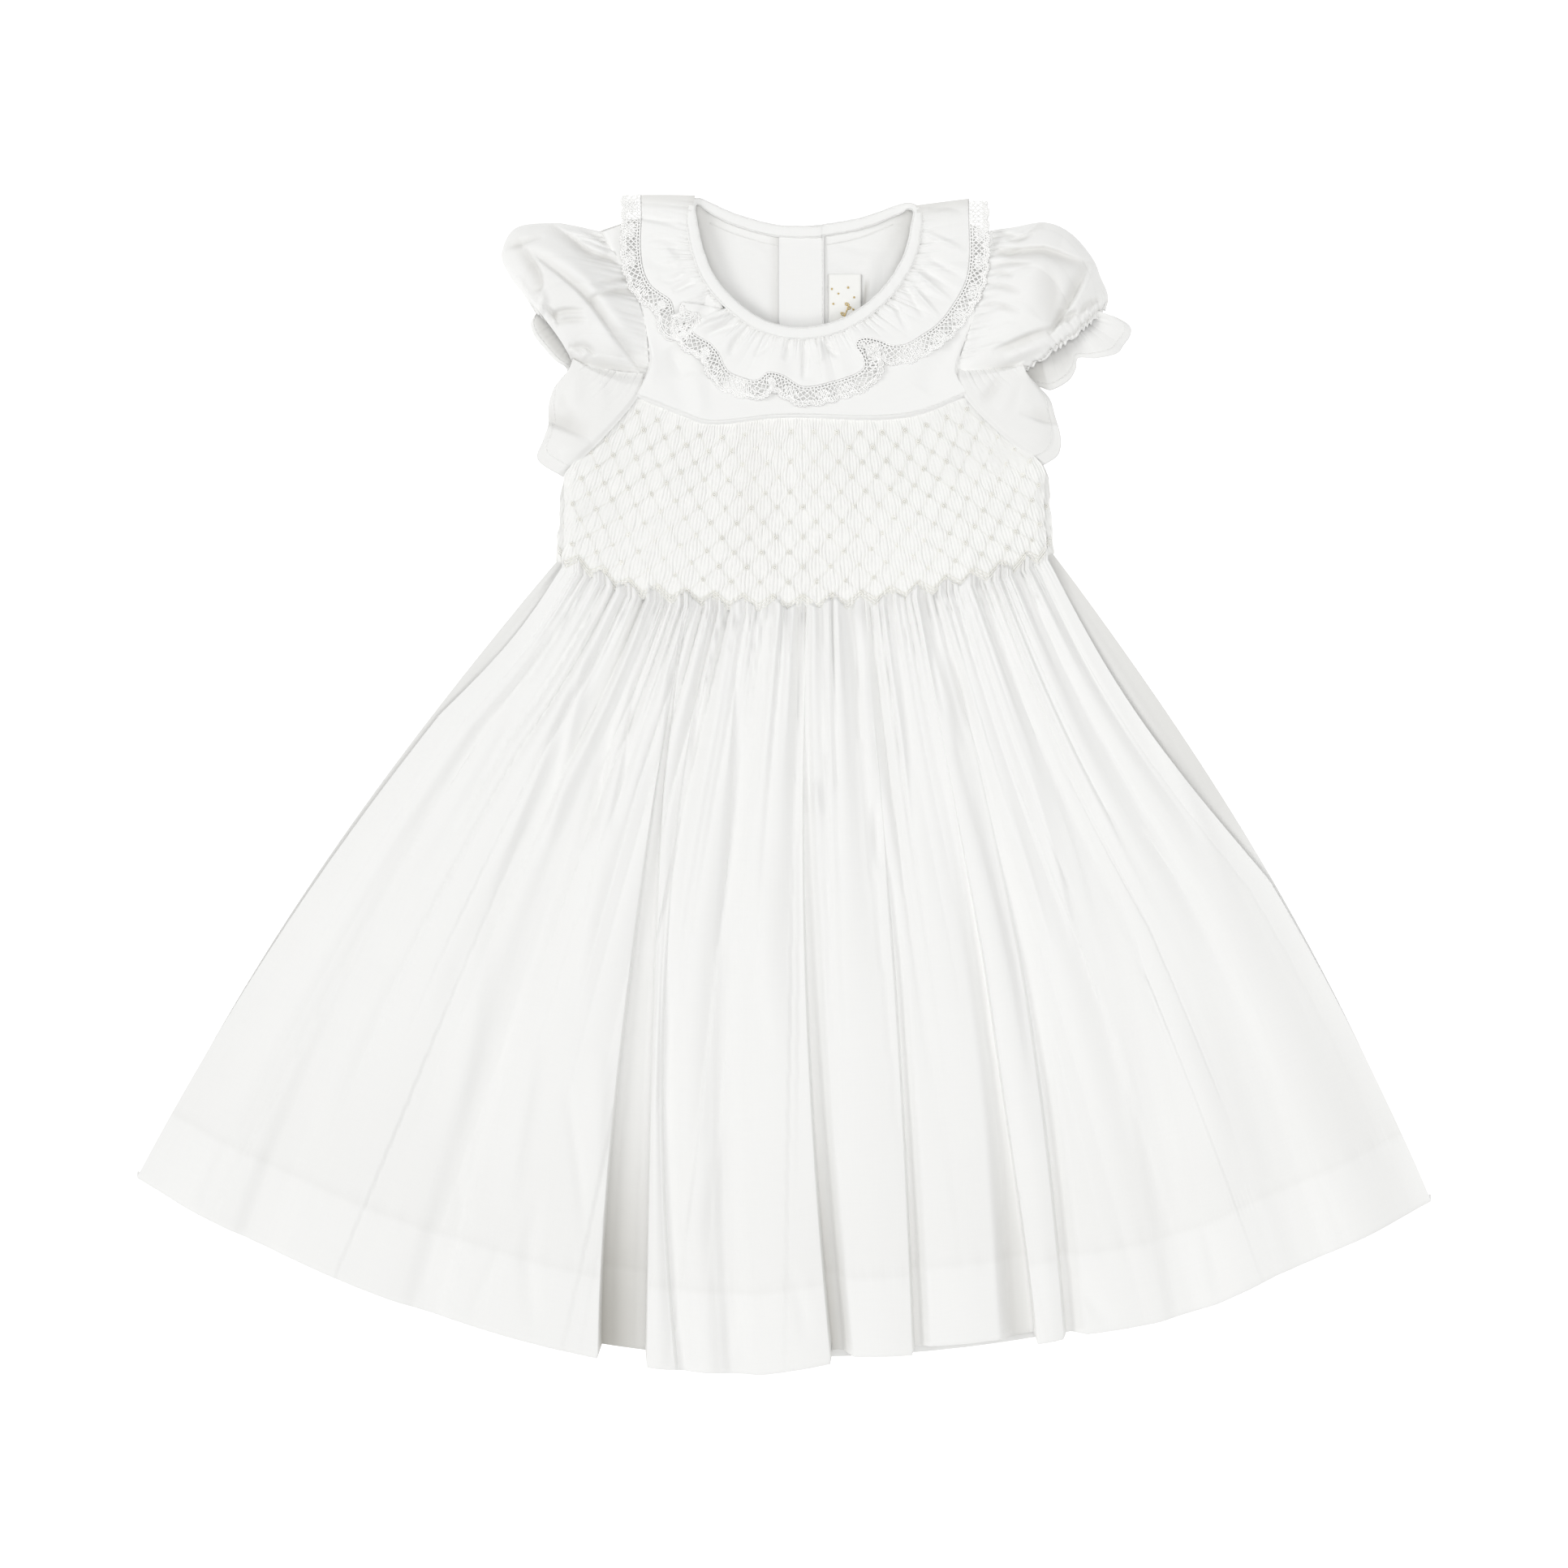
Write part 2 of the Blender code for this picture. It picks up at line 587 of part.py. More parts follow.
# The collar goes on round the back of the neck, flat between the back yoke and the surface.
BACK_COLLAR_NECK = {
    "left": ((-45.0, 243.6), (-35.0, 241.0), (-21.0, 235.4), (-6.0, 232.4)),
    "right": ((20.0, 232.2), (33.0, 234.6), (50.0, 240.6), (62.0, 241.6)),
}
BACK_COLLAR_EDGE = {
    "left": ((-60.6, 226.0), (-47.0, 221.0), (-30.0, 214.2), (-7.0, 209.0)),
    "right": ((21.0, 209.0), (40.0, 212.4), (60.0, 219.6), (76.0, 226.6)),
}


def make_back_collar():
    count = 13
    for side in ("left", "right"):
        neck = flat_curve(BACK_COLLAR_NECK[side], count)
        edge = flat_curve(BACK_COLLAR_EDGE[side], count)
        ruffle = [[laid_at(point, CLOTH) for point in row] for row in ruled(neck, edge, 2)]
        add_wall("collar_ruffle_back_" + side, ruffle, lowered(ruffle, CLOTH), WHITE_LAWN)
        inner, outer = [], []
        for start, end in zip(neck, edge):
            away = (end - start).normalized()
            inner.append(laid_at(end + away * SEAM, LACE_THICK))
            outer.append(laid_at(end + away * (SEAM + LACE_WIDTH), LACE_THICK))
        lace = ruled(inner, outer, 1)
        add_wall("collar_lace_back_" + side, lace, lowered(lace, LACE_THICK), COTTON_LACE)


# Sleeves ----------------------------------------------------------------------------------------

# Each sleeve is a puff between its armhole and its elastic. Rows are sections of the puff, from the
# armhole to the elastic: its upper and lower ends, how far its middle bows towards +X to follow the
# armhole, and how far its front stands up.
SLEEVES = {
    "left": [
        {"upper": (-80.2, 236.0), "lower": (-60.6, 175.6), "bow": 5.6, "swell": 3.4},
        {"upper": (-91.0, 238.2), "lower": (-66.0, 176.4), "bow": 4.0, "swell": 11.0},
        {"upper": (-103.0, 238.4), "lower": (-72.0, 177.2), "bow": 2.0, "swell": 15.0},
        {"upper": (-114.2, 237.4), "lower": (-77.6, 178.0), "bow": 0.0, "swell": 15.5},
        {"upper": (-120.0, 227.0), "lower": (-82.4, 178.8), "bow": 0.0, "swell": 14.0},
        {"upper": (-116.6, 218.4), "lower": (-86.6, 179.8), "bow": 0.0, "swell": 11.0},
        {"upper": (-110.6, 211.2), "lower": (-89.8, 180.8), "bow": 0.0, "swell": 7.6},
        {"upper": (-107.0, 203.6), "lower": (-92.4, 183.0), "bow": 0.0, "swell": 5.2},
    ],
    "right": [
        {"upper": (91.8, 235.6), "lower": (76.0, 179.6), "bow": 4.6, "swell": 3.4},
        {"upper": (101.0, 236.8), "lower": (81.0, 178.8), "bow": 3.4, "swell": 11.0},
        {"upper": (112.0, 239.4), "lower": (86.4, 178.2), "bow": 2.0, "swell": 15.0},
        {"upper": (122.4, 234.8), "lower": (91.4, 178.0), "bow": 0.0, "swell": 15.5},
        {"upper": (130.6, 225.0), "lower": (95.8, 178.2), "bow": 0.0, "swell": 14.0},
        {"upper": (134.6, 216.6), "lower": (99.6, 178.8), "bow": 0.0, "swell": 11.0},
        {"upper": (136.4, 208.4), "lower": (102.6, 179.6), "bow": 0.0, "swell": 7.6},
        {"upper": (135.6, 201.6), "lower": (105.6, 180.4), "bow": 0.0, "swell": 5.2},
    ],
}
# The frill below the elastic: its gathered edge and its free edge, in front and behind.
FRILLS = {
    "left": {
        "front_gathered": ((-94.4, 179.2), (-84.0, 176.0), (-72.0, 174.2), (-61.0, 173.4)),
        "front_free": ((-98.0, 171.6), (-101.6, 158.0), (-105.6, 138.4), (-96.2, 133.4)),
        "front_seam": ((-61.0, 173.4), (-66.2, 167.0), (-81.6, 149.4), (-96.2, 133.4)),
        "front_open": ((-94.4, 179.2), (-98.0, 171.6)),
        "back_gathered": ((-109.2, 202.0), (-101.0, 190.4), (-94.8, 180.2), (-84.0, 175.0), (-62.6, 171.8)),
        "back_free": ((-109.6, 197.6), (-105.6, 190.0), (-98.4, 180.4), (-101.0, 158.0), (-96.6, 133.4)),
    },
    "right": {
        "front_gathered": ((75.2, 176.8), (84.0, 176.0), (94.0, 175.8), (105.0, 176.4)),
        "front_free": ((112.4, 138.4), (118.6, 146.0), (115.6, 160.6), (109.4, 171.4)),
        "front_seam": ((75.2, 176.8), (80.4, 168.2), (96.2, 152.0), (112.4, 138.4)),
        "front_open": ((105.0, 176.4), (109.4, 171.4)),
        "back_gathered": ((139.2, 200.4), (129.0, 192.0), (117.6, 184.0), (107.6, 177.8), (78.0, 175.4)),
        "back_free": ((145.4, 200.0), (149.4, 193.0), (141.0, 184.8), (124.8, 174.6), (112.6, 137.8)),
    },
}
FRONT_TURNS, BACK_TURNS = 10, 5


def puff_ring(section, rim, swell_less):
    """One closed section of a sleeve: rounded ends, a full front and a flat back."""
    upper, lower = Vector(section["upper"]), Vector(section["lower"])
    along = (lower - upper).normalized()

    def across(share, height):
        arch = math.sin(math.pi * share)
        bow = Vector((section["bow"] * arch, 0.0))
        return laid_at(upper.lerp(lower, share) + bow, height)

    ring = [laid_at(upper - along * rim, PUFF_RIM)]
    for step in range(FRONT_TURNS + 1):
        share = step / FRONT_TURNS
        swell = (section["swell"] - swell_less) * max(math.sin(math.pi * share), 0.0) ** 0.75
        ring.append(across(share, PUFF_RIM + rim + swell))
    ring.append(laid_at(lower + along * rim, PUFF_RIM))
    for step in range(BACK_TURNS + 1):
        ring.append(across(1 - step / BACK_TURNS, PUFF_RIM - rim))
    return ring


def make_sleeves():
    for side, sections in SLEEVES.items():
        outer = [puff_ring(section, PUFF_RIM, 0.0) for section in sections]
        inner = [puff_ring(section, PUFF_RIM_INSIDE, PUFF_THICKER) for section in sections]
        add_wall("sleeve_" + side, outer, inner, WHITE_LAWN, closed=True)


def make_frills():
    columns, rows = 9, 6
    for side, edges in FRILLS.items():
        gathered = flat_curve(edges["front_gathered"], columns)
        free = flat_curve(edges["front_free"], columns)
        seam = flat_curve(edges["front_seam"], rows)
        opening = flat_curve(edges["front_open"], rows)
        sides = (opening, seam) if side == "left" else (seam, opening)
        upper = []
        for row, points in enumerate(patch(gathered, free, *sides)):
            down = row / (rows - 1)
            height = between(FRILL_TOP, FRILL_FOOT, down) + FRILL_SWELL * math.sin(math.pi * down)
            upper.append([laid_at(point, height) for point in points])
        add_wall("frill_front_" + side, upper, lowered(upper, CLOTH), WHITE_LAWN)

        gathered = flat_curve(edges["back_gathered"], 15)
        free = flat_curve(edges["back_free"], 15)
        flat = [[laid_at(point, CLOTH) for point in row] for row in ruled(gathered, free, 3)]
        add_wall("frill_back_" + side, flat, lowered(flat, CLOTH), WHITE_LAWN)


for old in list(bpy.data.objects):
    bpy.data.objects.remove(old)

make_skirt_front()
make_skirt_back()
make_smocking()
make_front_yoke()
make_back_yoke()
make_placket_and_label()
make_buttons()
make_binding()
make_collar()
make_back_collar()
make_sleeves()
make_frills()
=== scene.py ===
"""Toddler's smocked dress in white cotton lawn, laid flat: the cloth, threads and lace that are seen.

Sizes are in millimetres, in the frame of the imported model. Cloth coordinates are a share across
(0 at the viewer's left) and a share down (0 at the piece's upper edge).
"""

import math

import bpy
import numpy as np
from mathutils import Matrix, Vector


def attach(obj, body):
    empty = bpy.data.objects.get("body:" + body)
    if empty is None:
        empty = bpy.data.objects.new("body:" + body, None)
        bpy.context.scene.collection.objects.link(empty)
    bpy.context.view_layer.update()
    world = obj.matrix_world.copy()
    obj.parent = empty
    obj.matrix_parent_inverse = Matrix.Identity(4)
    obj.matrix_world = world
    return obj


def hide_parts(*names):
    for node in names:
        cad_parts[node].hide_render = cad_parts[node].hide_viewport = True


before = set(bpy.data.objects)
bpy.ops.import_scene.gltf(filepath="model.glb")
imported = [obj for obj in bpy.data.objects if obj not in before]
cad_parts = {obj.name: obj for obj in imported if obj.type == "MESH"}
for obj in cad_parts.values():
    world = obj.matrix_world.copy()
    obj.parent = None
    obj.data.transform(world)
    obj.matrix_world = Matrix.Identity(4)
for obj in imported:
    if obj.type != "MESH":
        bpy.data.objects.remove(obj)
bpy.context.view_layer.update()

# Skirt front ------------------------------------------------------------------------------------
# The front of the skirt, one width of white cotton lawn. It hangs from the smocking in gathers that
# grow into soft folds, and its foot is turned up in a deep hand-stitched hem.

MM = 0.001
CURVE_STEPS, CREASE_STEPS = 12, 8


def between(low, high, share):
    return low + (high - low) * share


def ease(share):
    share = np.clip(share, 0.0, 1.0)
    return share * share * (3 - 2 * share)


def smooth_line(points, places):
    """Points at the given shares of the length of one smooth curve through the given points."""
    knots = np.array(points, float)
    before = np.vstack([knots[:1], knots[:-2]])
    start, end = knots[:-1], knots[1:]
    after = np.vstack([knots[2:], knots[-1:]])
    t = (np.arange(CURVE_STEPS) / CURVE_STEPS)[None, :, None]
    start, end, before, after = (part[:, None, :] for part in (start, end, before, after))
    linear = (end - before) * t
    square = (2 * before - 5 * start + 4 * end - after) * t**2
    cube = (3 * start - before - 3 * end + after) * t**3
    dense = (start + (linear + square + cube) / 2).reshape(-1, knots.shape[1])
    dense = np.vstack([dense, knots[-1:]])
    travel = np.concatenate([[0.0], np.cumsum(np.linalg.norm(np.diff(dense, axis=0), axis=1))])
    places = np.asarray(places, float) * travel[-1]
    return np.stack([np.interp(places, travel, axis) for axis in dense.T], axis=-1)


def lifted(plan, height):
    """Points seen from above, with their heights."""
    height = np.broadcast_to(np.asarray(height, float), plan.shape[:-1])
    return np.concatenate([plan, height[..., None]], axis=-1)


def unit(vectors):
    return vectors / np.linalg.norm(vectors, axis=-1, keepdims=True)


def crease_heights(xy, creases):
    """What a table of troughs and ridges adds to the height at each point."""
    height = np.zeros(xy.shape[:-1])
    for top, right, left, *path in creases:
        line = smooth_line(path, np.linspace(0, 1, CREASE_STEPS + 1))
        nearest = np.full(height.shape, 1e9)
        side = np.zeros(height.shape)
        place = np.zeros(height.shape)
        for index, (start, end) in enumerate(zip(line, line[1:])):
            run = end - start
            offset = xy - start
            along = np.clip((offset @ run) / (run @ run), 0, 1)
            gap = offset - along[..., None] * run
            distance = np.hypot(gap[..., 0], gap[..., 1])
            closer = distance < nearest
            nearest = np.where(closer, distance, nearest)
            cross = run[0] * offset[..., 1] - run[1] * offset[..., 0]
            side = np.where(closer, cross, side)
            place = np.where(closer, (index + along) / CREASE_STEPS, place)
        reach = np.where(side < 0, right, left)
        taper = np.sin(np.pi * np.clip(place, 0, 1)) ** 0.7
        height += top * taper * np.exp(-((nearest / reach) ** 2))
    return height


def gather_heights(across, down, pitch, longest, seed, soft=0.5):
    """Rounded gathers of uneven width and length; the softer they are, the wider their valleys."""
    chance = np.random.default_rng(seed)
    widths = pitch * chance.uniform(0.55, 1.5, int(2.2 / pitch))
    valleys = np.concatenate([[-0.3], -0.3 + np.cumsum(widths)])
    lengths = longest * chance.uniform(0.3, 1.0, len(widths))
    sizes = chance.uniform(0.45, 1.0, len(widths))
    leans = chance.uniform(-0.45, 0.45, len(widths))
    which = np.clip(np.searchsorted(valleys, across) - 1, 0, len(widths) - 1)
    t = 2 * (across - valleys[which]) / widths[which] - 1
    t = t + leans[which] * (1 - t**2)
    fade = np.clip(1 - down / lengths[which], 0, 1) ** 1.3
    return sizes[which] * fade * (np.clip(1 - t**2, 0, 1) ** soft - 0.6)


def add_painted_shade(piece, values):
    """How much shade is painted into the cloth's colour at each point, 0 to 1, for its material."""
    layer = piece.data.attributes.new("painted_shade_level", "FLOAT", "POINT")
    layer.data.foreach_set("value", np.clip(values, 0, 1).astype(np.float32).ravel())


def sew_on(piece):
    """The piece rides on the dress."""
    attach(piece, "root")


def lay_cloth(name, node, grid, material, size=None, closed=False, painted_shade=None):
    """One sheet of cloth from rows of points, in place of that node; its UV map is in metres."""
    rows, columns = grid.shape[:2]
    spans = columns if closed else columns - 1
    row, column = np.meshgrid(np.arange(rows - 1), np.arange(spans), indexing="ij")
    first = row * columns + column
    second = row * columns + (column + 1) % columns
    quads = np.stack([first, first + columns, second + columns, second], axis=-1).reshape(-1, 4)
    mesh = bpy.data.meshes.new(name)
    mesh.from_pydata((grid.reshape(-1, 3) * MM).tolist(), [], quads.tolist())
    if size is None:
        size = (np.linalg.norm(np.diff(grid[rows // 2], axis=0), axis=1).sum(),
                np.linalg.norm(np.diff(grid[:, columns // 2], axis=0), axis=1).sum())
    corners_u = np.stack([column, column, column + 1, column + 1], axis=-1) / spans * size[0] * MM
    corners_v = np.stack([row, row + 1, row + 1, row], axis=-1) / (rows - 1) * size[1] * MM
    layer = mesh.uv_layers.new(name="cloth")
    layer.data.foreach_set("uv", np.stack([corners_u, -corners_v], axis=-1).astype(np.float32).ravel())
    mesh.shade_smooth()
    mesh.materials.append(material)
    piece = bpy.data.objects.new(name, mesh)
    bpy.context.scene.collection.objects.link(piece)
    if painted_shade is not None:
        add_painted_shade(piece, painted_shade)
    sew_on(piece)
    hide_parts(node)


class Shade:
    """One socket of a material; arithmetic on it adds the Math nodes that work it out."""

    def __init__(self, tree, socket=None):
        self.tree = tree
        self.socket = socket

    def node(self, kind, settings=None, inputs=None, output=0):
        made = self.tree.nodes.new(kind)
        for setting, value in (settings or {}).items():
            setattr(made, setting, value)
        for name, value in (inputs or {}).items():
            if isinstance(value, Shade):
                self.tree.links.new(value.socket, made.inputs[name])
            else:
                made.inputs[name].default_value = value
        return Shade(self.tree, made.outputs[output] if made.outputs else None)

    def maths(self, operation, *values):
        return self.node("ShaderNodeMath", {"operation": operation}, dict(enumerate(values)))

    def __add__(self, other):
        return self.maths("ADD", self, other)

    def __sub__(self, other):
        return self.maths("SUBTRACT", self, other)

    def __mul__(self, other):
        return self.maths("MULTIPLY", self, other)

    def __rsub__(self, other):
        return self.maths("SUBTRACT", other, self)

    __radd__ = __add__
    __rmul__ = __mul__

    def noise(self, settings=None, **inputs):
        """Noise over the piece's own coordinates, or over those that are given."""
        if "Vector" not in inputs:
            inputs["Vector"] = self.node("ShaderNodeTexCoord", {}, {}, "Object")
        return self.node("ShaderNodeTexNoise", settings, inputs)

    def colour_between(self, low, high):
        mixed = self.tree.nodes.new("ShaderNodeMix")
        mixed.data_type = "RGBA"
        self.tree.links.new(self.socket, mixed.inputs["Factor"])
        for name, value in (("A", low), ("B", high)):
            socket = next(s for s in mixed.inputs if s.name == name and s.type == "RGBA")
            if isinstance(value, Shade):
                self.tree.links.new(value.socket, socket)
            else:
                socket.default_value = (*value, 1.0)
        return Shade(self.tree, next(s for s in mixed.outputs if s.type == "RGBA"))


def new_material(name, constants):
    """A material with its shader's constants set, and a place to start an expression from."""
    material = bpy.data.materials.new(name)
    material.use_nodes = True
    tree = material.node_tree
    shader = tree.nodes["Principled BSDF"]
    for socket, value in constants.items():
        shader.inputs[socket].default_value = value
    return material, Shade(tree), shader


def plug(shade, shader, name):
    shade.tree.links.new(shade.socket, shader.inputs[name])


def plug_bump(height, shader, strength, depth):
    bump = height.node("ShaderNodeBump", {}, {"Height": height, "Strength": strength, "Distance": depth})
    plug(bump, shader, "Normal")


# Threads to the metre across the cloth and along it, for the warp and the weft.
WARP_SCALE, WEFT_SCALE = (1600.0, 55.0, 1.0), (70.0, 1600.0, 1.0)


def make_lawn(name, colour, painted_shade_colour, weave=0.05, sheen=0.25):
    """Plain-woven cotton: crossing threads, a slub here and there, and shade painted into its colour in folds
    and hollows.
    """
    material, shade, shader = new_material(name, {
        "Roughness": 0.92, "Specular IOR Level": 0.25, "Sheen Weight": sheen, "Sheen Roughness": 0.45,
    })
    cloth = shade.node("ShaderNodeUVMap", {"uv_map": "cloth"})
    threads = []
    for stretch in WARP_SCALE, WEFT_SCALE:
        place = shade.node("ShaderNodeMapping", {}, {"Vector": cloth, "Scale": stretch})
        fibres = {"Vector": place, "Scale": 1.0, "Detail": 2.0, "Roughness": 0.6}
        threads.append(shade.noise({"noise_dimensions": "2D"}, **fibres))
    slubs = threads[0] * 0.5 + threads[1] * 0.5
    patches = shade.noise(Scale=24.0, Detail=3.0)
    painted_shade_mix = shade.node("ShaderNodeAttribute", {"attribute_name": "painted_shade_level"}, {}, "Fac")
    tone = shade.node("ShaderNodeClamp", {}, {"Value": (slubs - 0.5) * 0.9 + 0.5 + (patches - 0.5) * 0.5})
    pale = tuple(channel * 0.965 for channel in colour)
    plain = tone.colour_between(pale, colour)
    # Painted shade: the colour goes towards the warm grey shade colour as far as the piece asks.
    plug(painted_shade_mix.colour_between(plain, painted_shade_colour), shader, "Base Color")
    plug_bump(slubs + patches * 0.2, shader, weave, 0.001)
    return material


# Plain lawn, with the warm grey of the shade painted into its folds.
white_lawn = make_lawn("lawn_cloth", (0.875, 0.875, 0.862), (0.42, 0.405, 0.365))

HEM_RADIUS, HEM_HALF_WIDTH, HEM_DEPTH = 553.0, 278.6, 36.0
HEM_LEFT_Y, HEM_RIGHT_Y = -169.5, -179.5
# How far each side bows outwards, and how far the front is swung in there: how much, down to which
# share of the length, and all along.
SIDE_BULGE = (12.0, 13.0)
FRONT_SWUNG = ((4.5, 0.24, 0.0), (10.5, 0.50, 0.0))
SIDE_ROLL = 0.07
SMOCK_MIDDLE, SMOCK_FAN, DIAMOND = 8.0, 0.0034, 11.4
WAVE_FOOT, WAVE_RISE = 0.6, 4.6
BACK_TOP, FRONT_LOWEST = 1.2, 2.6
FOLD_AT_WAIST, FOLD_AT_HEM, LIP_HEIGHT = 1.2, 8.6, 0.86
FRONT_WAIST = (
    (-95.6, 93.2), (-80.1, 87.3), (-62.0, 79.6), (-12.2, 74.0), (36.8, 76.1), (88.2, 87.0), (113.6, 96.4)
)

# Each fold: its share across at the waist and at the hem, the width of its trough at the hem and how
# deep it is, where it starts, how far its middle bends aside, the width of its left and right lips,
# how far the hem hangs lower left of it, in it and right of it, how much shade is painted into its
# trough, and how late its trough opens.
FOLD_COLUMNS = ("waist", "hem", "width", "depth", "starts", "bend", "lips", "drops", "trough_shade", "spread")
SKIRT_FOLDS = [dict(zip(FOLD_COLUMNS, row)) for row in (
    (0.045, 0.1000, 8, 0.30, 0.00, 0.0, (8.0, 12.0), (-1.0, -1.0, -1.0), 0.0, 3),
    (0.200, 0.2350, 6, 0.30, 0.05, 0.0, (10.0, 6.0), (0.5, 0.5, 0.5), 0.0, 3),
    (0.262, 0.3815, 18, 1.00, 0.08, 6.5, (1.6, 1.0), (3.4, -2.2, 4.2), 1.2, 0.9),
    (0.315, 0.4240, 2, 0.32, 0.05, -2.0, (1.6, 6.0), (4.0, 4.0, 4.0), 0.05, 3),
    (0.385, 0.4650, 3, 0.24, 0.02, 0.0, (5.0, 9.0), (3.6, 3.6, 3.6), 0.0, 3),
    (0.506, 0.5393, 4, 1.00, 0.04, -2.0, (1.0, 5.0), (-1.4, -6.5, -4.1), 0.8, 0.5),
    (0.625, 0.5980, 2, 0.75, 0.30, -1.0, (1.2, 5.0), (-3.4, -6.5, -6.5), 0.3, 3),
    (0.722, 0.6780, 8, 0.85, 0.30, 0.0, (7.0, 1.2), (-5.7, -5.7, -1.0), 0.45, 3),
    (0.775, 0.7110, 2, 0.70, 0.25, 0.0, (1.6, 7.0), (-0.9, -3.0, -0.9), 0.2, 3),
    (0.865, 0.8000, 6, 0.25, 0.10, 0.0, (8.0, 10.0), (1.8, 1.8, 1.8), 0.0, 3),
    (0.940, 0.9000, 8, 0.25, 0.05, 0.0, (12.0, 8.0), (-1.2, -1.2, -1.2), 0.0, 3),
)]

# Each crease: its height, how far it reaches to the right and to the left of its line, and that line.
SKIRT_CREASES = [
    (-1.6, 2.5, 6, (-98, 66), (-129.8, 4.7), (-156.8, -40.4), (-170.4, -58.6)),
    (1.9, 5, 3, (-82.2, 72.6), (-107.4, 1.9), (-129.8, -54.1), (-138.6, -76.5)),
    (-1.2, 5, 3.5, (-104.6, -6.8), (-128.4, -50.6), (-145.2, -99.6)),
    (-2.2, 4.5, 1.6, (-75.2, 25.4), (-79.8, -6.5), (-86.8, -26.8)),
    (1.2, 3, 5, (-58.4, 71.9), (-68.9, 29.9), (-81.2, -40.1), (-88.2, -99.6)),
    (1.5, 9, 5, (-171.1, -78.6), (-184.4, -106.6), (-200.2, -145.1)),
    (1.4, 8, 5, (-128.4, -57.6), (-133.7, -103.1), (-143.8, -155.6)),
    (1.3, 7, 4, (-106, -106.6), (-112.7, -145.1), (-118.6, -183.6)),
    (1.4, 6, 4, (-78, -113.6), (-79.4, -145.1), (-81.5, -173.1)),
    (1.3, 4, 8, (-10.5, -26.1), (-7.7, -75.1), (-1.8, -120.6)),
    (1.4, 5, 7, (-28.7, -148.6), (-34.6, -173.1), (-41.6, -201.1)),
    (1.4, 4, 9, (127, -40.1), (142.8, -89.1), (153.3, -155.6)),
    (1.2, 6, 9, (165.5, -99.6), (179.5, -131.1), (190.8, -162.6)),
    (1.2, 3, 6, (85, -54.1), (91.3, -99.6), (103.2, -159.1)),
    (-0.9, 3, 3, (-234.8, -148.6), (-241.8, -162.6), (-250.9, -180.1)),
    (-0.9, 3, 3, (-140.3, -166.1), (-137.5, -187.1), (-139.6, -208.1)),
    (-0.9, 3, 3, (-120, -197.6), (-128.4, -215.1), (-135.4, -230.8)),
    (-1, 4, 3, (-104.6, -176.6), (-108.8, -201.1), (-107.4, -232.6)),
    (-0.7, 2.5, 2.5, (-93.4, -127.6), (-87.8, -166.1), (-85.8, -194.1)),
    (-0.8, 3, 4, (179.5, -187.1), (185.1, -208.1), (186.5, -222.1)),
    (-0.9, 2.5, 3.5, (116.5, -201.1), (127, -215.1), (140.3, -234.3)),
    (-0.7, 3, 3, (2.8, -208.1), (7.3, -222.1), (8.8, -239.6)),
    (-0.6, 3, 3, (-23.4, -215.1), (-21.3, -225.6), (-24.8, -246.6)),
    (-1.6, 1.4, 1.4, (60.5, 70.5), (64, 50.9), (69.6, 27.5)),
    (-2.6, 1.4, 3, (72.8, 56.9), (76.6, 40.4), (81.2, 22.9)),
    (1.8, 3, 2.4, (62.6, 66), (68.9, 40.4), (74.9, 13.8)),
    (-2.4, 1.2, 3.2, (38.8, -6.8), (39.5, -22.6), (40.6, -37.3)),
    (1.2, 2, 3, (41.6, 8.9), (44.4, -15.6), (46.5, -47.1)),
    (-2.4, 1.2, 4, (-19.9, 50.9), (-22, -8.6), (-25.5, -45), (-29, -73.3)),
    (-1.6, 2, 6, (80.8, 2.6), (89.9, -35.9), (99, -76.8), (106.8, -127.6)),
    (0.9, 2, 1.6, (103.2, 12.4), (115.8, -29.6), (125.3, -72.3)),
    (0.8, 2, 1.6, (94.8, -3.3), (106, -40.1), (115.1, -71.6)),
    (0.7, 2, 1.6, (112.3, 3.7), (123.5, -26.1), (132.3, -57.6)),
    (-1.2, 4, 7, (116.5, 57.9), (146.3, 1.9), (169, -40.1), (186.5, -78.6)),
    (1.2, 4, 4, (134.8, 68.4), (165.5, 12.4), (193.5, -50.6)),
    (1.3, 4, 5, (-114.4, 61.4), (-149.4, 12.4), (-180.9, -36.6)),
    (1.7, 2.2, 3.4, (-84.7, 61.2), (-92.4, 18.0), (-101.9, -27.0)),
    (-1.7, 1.4, 3.2, (-63.7, 46.0), (-68.2, 10.0), (-74.2, -21.0)),
    (-1.9, 1.2, 3.0, (-36.5, 46.0), (-38.0, 28.0), (-39.6, 7.0)),
    (-1.6, 1.2, 2.0, (31.0, 71.0), (32.2, 56.0), (32.7, 38.0)),
    (1.2, 3.0, 1.2, (-50.0, 60.0), (-52.0, 20.0), (-57.0, -30.0)),
    (-1.3, 1.2, 3.0, (49.0, 50.0), (52.5, 20.0), (57.0, -30.0)),
    (2, 3, 3, (14, 1.9), (13.6, -6.8), (15.7, -15.6)),
]


def hem_line(share, drop):
    widest = math.asin(HEM_HALF_WIDTH / HEM_RADIUS)
    angle = between(-widest, widest, share)
    sagitta = HEM_RADIUS * (np.cos(angle) - math.cos(widest))
    corner = between(HEM_LEFT_Y, HEM_RIGHT_Y, share)
    return np.stack([HEM_RADIUS * np.sin(angle), corner - sagitta - drop], axis=-1)


